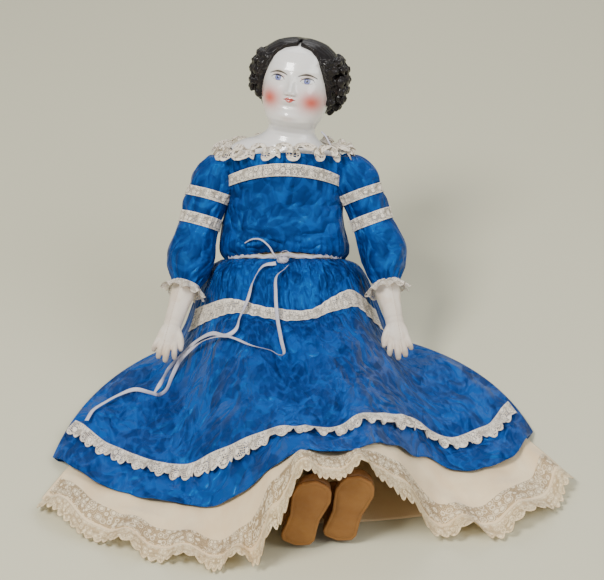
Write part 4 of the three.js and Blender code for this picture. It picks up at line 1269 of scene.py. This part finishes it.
def about_arm(side, from_shoulder, radius, turn):
    """Points of rings about the arm, carried smoothly round the elbow."""
    along = from_shoulder - UPPER_LENGTH[side]
    x, y = radius * np.sin(turn), radius * np.cos(turn)
    high, low = moved(UPPER[side], x, y, from_shoulder), moved(FORE[side], x, y, along)
    return lerp(high, low, smooth((along + 16) / 32)[..., None])


def sleeve_surface(side, along, turn, out=0.0):
    outer, inner = read(SLEEVE, along, 3.5)
    radius = lerp(inner, outer, 0.5 + 0.5 * SIDES[side] * np.sin(turn))
    seed = 100 + SIDES[side]
    drawn = bump(along, 36, 9) + bump(along, 68, 10) + smooth((along - 132) / 10)
    drawn = drawn + 0.8 * smooth((4 - along) / 20)
    pleat = 1 - np.abs(np.sin(turn * 8 + 1.5 * noise(np.cos(turn) * 2, along / 26, seed)))
    puff = bump(along, 18, 14) + bump(along, 52, 12) + 1.3 * bump(along, 104, 26)
    soft = noise(np.cos(turn) * 2.1 + along / 60, np.sin(turn) * 2.1 + along / 22, seed + 5)
    fine = noise(np.cos(turn) * 4.5 + along / 20, np.sin(turn) * 4.5, seed + 9)
    radius = radius + 1.7 * (pleat - 0.5) * np.clip(drawn, 0.25, 1) + 1.3 * puff - 1.2 * drawn
    return about_arm(side, along, radius + 1.8 * soft + 0.8 * fine + out, turn)


def toward(side, from_shoulder):
    """The middle of the arm at a distance from the shoulder, in metres."""
    return tuple(about_arm(side, from_shoulder, 0, 0) * MM)


def sleeve_part(name, node, side, low, high, rows):
    turn = np.linspace(math.pi, 3 * math.pi, 260, endpoint=False)[:, None]
    along = np.linspace(low, high, rows)[None, :]
    obj = grid(name, sleeve_surface(side, along, turn), (0.20, (high - low) * MM), wrap=True, flip=True)
    thicken(obj, CLOTH_THICKNESS)
    return finished(obj, SILK, "silk", None, node)


def sleeve_lace(name, node, side, low, high):
    turn = np.linspace(0, TAU, 260, endpoint=False)[:, None]
    along = np.linspace(low, high, 12)[None, :]
    obj = grid(name, sleeve_surface(side, along, turn, 1.4), (0.20, 1.0), wrap=True)
    thicken(obj, STRIP_THICKNESS, 0)
    finished(obj, LACE, "lace", f"upper_arm_{side}", node)


def cuff_ruffle(side):
    turn = np.linspace(0, TAU, 620, endpoint=False)[:, None]
    v = np.linspace(0, 1, 20)[None, :]
    phase = turn * 10 + 0.9 * noise(np.cos(turn) * 2, np.sin(turn) * 2, 120)
    radius = 17.0 + 9.0 * v + smooth(v * 1.2) * 2.9 * np.sin(phase)
    along = 147.5 + 15 * v - 3.0 * v ** 2 + smooth(v * 1.2) * 2.2 * np.cos(phase)
    obj = grid(f"cuff_ruffle_{side}", about_arm(side, along, radius, turn), (0.17, 1.0), wrap=True)
    thicken(obj, LACE_THICKNESS, 0)
    finished(obj, LACE_EDGE, "lace", f"forearm_{side}", f"cuff_lace_ruffle_{side}")


def sleeves(side):
    obj = sleeve_part(f"silk_sleeve_head_{side}", f"sleeve_upper_{side}", side, -19, 68, 84)
    local = points_of(obj) @ SPINE[:3, :3]
    local[:, 2] -= 0.96 * np.maximum(local[:, 2] - SLEEVE_TOP, 0)
    put_points(obj, local @ SPINE[:3, :3].T)
    toward(side, -8)
    toward(side, 26)
    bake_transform(obj)
    lower = sleeve_part(f"silk_sleeve_{side}", f"sleeve_lower_{side}", side, 67, 149.5, 90)
    toward(side, 88)
    toward(side, 132)
    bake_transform(lower)
    sleeve_lace(f"sleeve_lace_upper_{side}", f"sleeve_band_upper_{side}", side, 30, 42)
    sleeve_lace(f"sleeve_lace_lower_{side}", f"sleeve_band_lower_{side}", side, 61, 75)
    cuff_ruffle(side)


for SIDE in SIDES:
    sleeves(SIDE)


# ---- leather arms and hands ----------------------------------------
WRIST_BACK = 46
FINGERS = [(-9.5, -14, 6, 3.5), (-3, -4.5, 0, 3.8), (3.6, 4.5, 2, 3.7), (9.4, 12.5, 9, 3.3)]


def digit(name, matrix, spine, segments=18, count=30):
    """A finger through (x, y, z, radius) stations, with round ends."""
    path = rounded(spine, count)
    ends = [(1.0, 0.05), (0.8, 0.6), (0.45, 0.9)]  # reach beyond the end and radius, as shares of its radius

    def round_end(last, before):
        beyond = unit((last - before)[:3])
        return [(*(last[:3] + beyond * reach * last[3]), last[3] * share) for reach, share in ends]

    rows = [*round_end(path[0], path[1]), *path, *round_end(path[-1], path[-2])[::-1]]

    def place(columns, turn):
        x, y, z, radius = columns
        return moved(matrix, x + radius * np.sin(turn), y + radius * np.cos(turn), z)
    return outward(ring_solid(name, rows, segments, place))


def forearm(side):
    matrix, length = FORE[side], FORE_LENGTH[side]
    wrist = length - WRIST_BACK
    inner = -SIDES[side]
    rows = [(-12, 1, 1), (-10.4, 6, 6), (-6.1, 10.3, 10.3), (0, 12, 12), (12, 13, 12.5), (30, 15, 14.5),
            (52, 14, 13), (wrist - 12, 11.5, 10.5), (wrist, 11, 9), (wrist + 10, 13, 7.5),
            (wrist + 20, 13.2, 6.5), (wrist + 25, 11, 5), (wrist + 27, 7, 3)]

    def arm(columns, turn):
        along, across, deep = columns
        seam = sum(0.75 * bump((turn + 0.35 * inner) % TAU, middle, 0.10) for middle in (0, TAU))
        lump = 0.5 * noise(np.cos(turn) * 2, along / 17, 130)
        crease = -0.9 * bump(along, wrist + 1, 1.6) - 0.6 * bump(along, wrist - 6, 1.2)
        grow = seam + lump + crease * smooth(np.cos(turn) + 0.6)
        return moved(matrix, (across + grow) * np.sin(turn), (deep + grow) * np.cos(turn), along)
    pieces = [outward(ring_solid("arm", rows, 90, arm, 150))]
    bend = 3.6 if side == "right" else 2.4
    for knuckle, tip, short, radius in FINGERS:
        low = length - short - radius
        start = wrist + 15
        x0, x1 = -inner * knuckle, -inner * tip
        pieces.append(digit("finger", matrix, [
            (x0, 0.4, start, radius + 0.3), (lerp(x0, x1, 0.25), 1.8, lerp(start, low, 0.35), radius + 0.5),
            (lerp(x0, x1, 0.6), bend, lerp(start, low, 0.62), radius),
            (lerp(x0, x1, 0.85), bend * 0.4, lerp(start, low, 0.85), radius + 0.1),
            (x1, -1.8, low, radius - 0.5)]))
    pieces.append(digit("thumb", matrix, [
        (inner * 7, 0.6, wrist + 1, 4.6), (inner * 13, 1.6, wrist + 10, 4.6),
        (inner * 16.6, 0.6, wrist + 17, 3.9), (inner * 17.8, -1.4, wrist + 24, 3.1)]))
    obj = remeshed(merged(f"kid_forearm_{side}", pieces), 0.8, 3, 0.4)
    spots = unmoved(matrix, points_of(obj))
    tone = noise(spots[:, 0] / 6, spots[:, 2] / 9, 140)
    worn = smooth((spots[:, 2] - wrist - 16) / 26) * 0.5 + 0.25 * smooth((tone - 0.2) / 0.5)
    seam = bump(spots[:, 0] / np.maximum(spots[:, 1], 1), -0.35 * inner, 0.05) * (spots[:, 1] > 2)
    stitch = seam * (np.sin(spots[:, 2] * 2.6) > 0)
    shade = lerp(np.array((1.0, 1.0, 1.0)), np.array((0.80, 0.66, 0.50)), np.clip(worn, 0, 1)[:, None])
    shade = lerp(shade, np.array((0.45, 0.33, 0.22)), (0.7 * seam * (0.4 + 0.6 * stitch))[:, None])
    painted(obj, shade)
    finished(obj, KID, "kid", f"forearm_{side}", f"leather_forearm_{side}")


for SIDE in SIDES:
    forearm(SIDE)


# ---- ribbons ----------------------------------------
RIBBON_WIDTH, RIBBON_THICKNESS = 5, 0.5
THREAD_WIDTH, THREAD_THICKNESS = 2, 0.9
ROUTES = {
    "ribbon_tail_short": [
        (-9, -16, 150), (-24, -19, 148), (-36, -33, 135), (-42, -48, 120), (-51, -71, 109), (-56, -89, 103),
        (-66, -90, 96), (-84, -69, 85), (-105, -52, 62), (-122, -53, 43), (-137, -68, 35), (-145, -88, 29),
        (-153, -107, 25),
    ],
    "ribbon_tail_long": [
        (5, -17, 147), (1, -25, 147), (-8, -32, 142), (-9, -48, 127), (-7, -75, 112), (-2, -114, 106),
        (1, -145, 106), (-5, -151, 110), (-13, -143, 110), (-37, -124, 105), (-63, -99, 100), (-88, -79, 84),
        (-107, -66, 63), (-124, -64, 43), (-133, -76, 29), (-140, -93, 20), (-148, -98, 17), (-158, -94, 17),
        (-177, -87, 17), (-195, -98, 17), (-211, -114, 17), (-223, -129, 17), (-229, -150, 17),
    ],
    "ribbon_end_loose": [
        (-8, -16, 157), (-12, -15, 163), (-17, -11, 170), (-27, -5, 176), (-37, 1, 173), (-46, 6, 165),
    ],
    "neck_drawstring": [(66, 69, 254), (60, 63, 260), (55, 62, 269), (50, 66, 277), (45, 70, 281)],
}


def blended(t, start, end, a, b):
    """From a at the knot start to b at the knot end."""
    return (end - t) / (end - start) * a + (t - start) / (end - start) * b


def curve_through(route, count):
    """Even points on a centripetal curve through the route."""
    route = np.array(route, float)
    route = np.concatenate([[2 * route[0] - route[1]], route, [2 * route[-1] - route[-2]]])
    out = []
    for a, b, c, d in zip(route, route[1:], route[2:], route[3:]):
        legs = ((a, b), (b, c), (c, d))
        knots = np.cumsum([0, *[np.linalg.norm(q - p) ** 0.5 for p, q in legs]])
        t = np.linspace(knots[1], knots[2], 40, endpoint=False)[:, None]
        first = [blended(t, knots[i], knots[i + 1], *leg) for i, leg in enumerate(legs)]
        second = [blended(t, knots[i], knots[i + 2], *pair) for i, pair in enumerate(zip(first, first[1:]))]
        out.append(blended(t, knots[1], knots[2], *second))
    line = np.concatenate([*out, [route[-2]]])
    step = np.concatenate([[0], np.cumsum(np.linalg.norm(np.diff(line, axis=0), axis=1))])
    even = np.linspace(0, step[-1], count)
    return np.stack([np.interp(even, step, line[:, k]) for k in range(3)], 1), float(step[-1])


def ribbon(name, width, thickness, count, curl_amount):
    line, length = curve_through(ROUTES[name], count)
    ahead = unit(np.gradient(line, axis=0))
    side = unit(np.cross(ahead, (0, -0.35, 1.0)))
    face = np.cross(side, ahead)
    at = np.linspace(0, 1, count)
    twist = curl_amount * noise(at * 9, 0, len(name))
    u, v = np.cos(twist)[:, None], np.sin(twist)[:, None]
    side, face = side * u + face * v, face * u - side * v
    half = width / 2
    outline = [(-half, 0.0), (-half * 0.55, 0.18), (0, 0.25), (half * 0.55, 0.18), (half, 0.0)]
    upper = [(x, y + thickness / 2) for x, y in outline]
    outline = upper + [(x, y - thickness / 2) for x, y in outline[::-1]]
    points = np.stack([line + x * side + y * face for x, y in outline], 0)
    obj = outward(mesh(f"silk_{name}", *flat_ended(points)))
    layer = obj.data.uv_layers.new(name="UVMap")
    spots = np.empty(len(obj.data.loops), int)
    obj.data.loops.foreach_get("vertex_index", spots)
    across = np.array([(x + half) / width for x, _ in outline])
    along = (spots % count) / (count - 1) * length * MM
    layer.data.foreach_set("uv", np.stack([along, across[spots // count]], 1).ravel())
    finished(obj, RIBBON, "ribbon", None, name)
    if name.startswith("ribbon_tail"):
        skirt_blend(obj)
    else:
        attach(obj, "torso")


KNOT = np.array((-1, -10, 151), float)


def bow():
    """The knot at the waist and the small loop of ribbon that stands over it."""
    random = np.random.default_rng(4)
    points, corners = ball(np.zeros(3), 4.6, 16, 24)
    spots = np.array(points) * (1.5, 0.8, 1.0)
    spots += 0.35 * np.sin(spots[:, :1] * 2.2 + spots[:, 2:] * 1.3) * random.uniform(0.9, 1.1)
    knot = mesh("knot", spots + KNOT, corners)
    t = np.linspace(0, 1, 60)
    turn = math.radians(-100) + t * math.radians(340)
    middle = KNOT + (3, -2.5, 8)
    line = middle + spots_at(6.0 * np.cos(turn), 1.5 * np.sin(turn), 5.2 * np.sin(turn))
    side = np.broadcast_to(unit((0.1, -0.8, 0.5)), line.shape)
    face = np.cross(side, unit(np.gradient(line, axis=0)))
    rows = [line + x * side + y * face for x, y in ((-1.9, 0.25), (1.9, 0.25), (1.9, -0.25), (-1.9, -0.25))]
    loop = grid("loop", np.stack(rows, 0), wrap=True)
    made = merged("ribbon_knot", [outward(knot), outward(loop)])
    made.data.uv_layers.new(name="UVMap")
    finished(made, RIBBON, "ribbon", "torso", "ribbon_bow")


bow()
ribbon("ribbon_tail_short", RIBBON_WIDTH, RIBBON_THICKNESS, 220, 1.3)
ribbon("ribbon_tail_long", RIBBON_WIDTH, RIBBON_THICKNESS, 400, 1.3)
ribbon("ribbon_end_loose", THREAD_WIDTH, THREAD_THICKNESS, 110, 0.2)
ribbon("neck_drawstring", THREAD_WIDTH, THREAD_THICKNESS, 80, 0.2)


# ---- backdrop and lamps ----------------------------------------
def backdrop():
    g = Graph("pale_backdrop")
    colour(g, (0.66, 0.635, 0.47))
    g.set(Roughness=0.95, Specular_IOR_Level=0.1)
    obj = mesh("backdrop", [(x, y, -0.4) for x in (-6000, 6000) for y in (-6000, 9000)], [[0, 2, 3, 1]])
    obj.data.materials.append(g.material)


def lamp(name, place, target, size, power, tint=(1, 1, 1)):
    data = bpy.data.lights.new(name, "AREA")
    data.shape = "DISK"
    data.size = size
    data.energy = power
    data.color = tint
    obj = linked(name, data)
    obj.location = place
    obj.rotation_euler = (Vector(target) - Vector(place)).to_track_quat("-Z", "Y").to_euler()


backdrop()
lamp("key", (-1.1, -1.5, 2.3), (0, 0, 0.15), 0.9, 76, (1.0, 0.98, 0.94))
lamp("fill", (1.7, -1.1, 1.7), (0, 0, 0.15), 1.8, 30, (0.97, 0.98, 1.0))
lamp("back", (0.2, 1.7, 1.9), (0, 0, 0.2), 1.6, 16)
world = bpy.data.worlds.new("soft_room")
world.use_nodes = True
world.node_tree.nodes["Background"].inputs[0].default_value = (0.93, 0.94, 0.96, 1)
world.node_tree.nodes["Background"].inputs[1].default_value = 0.42
bpy.context.scene.world = world
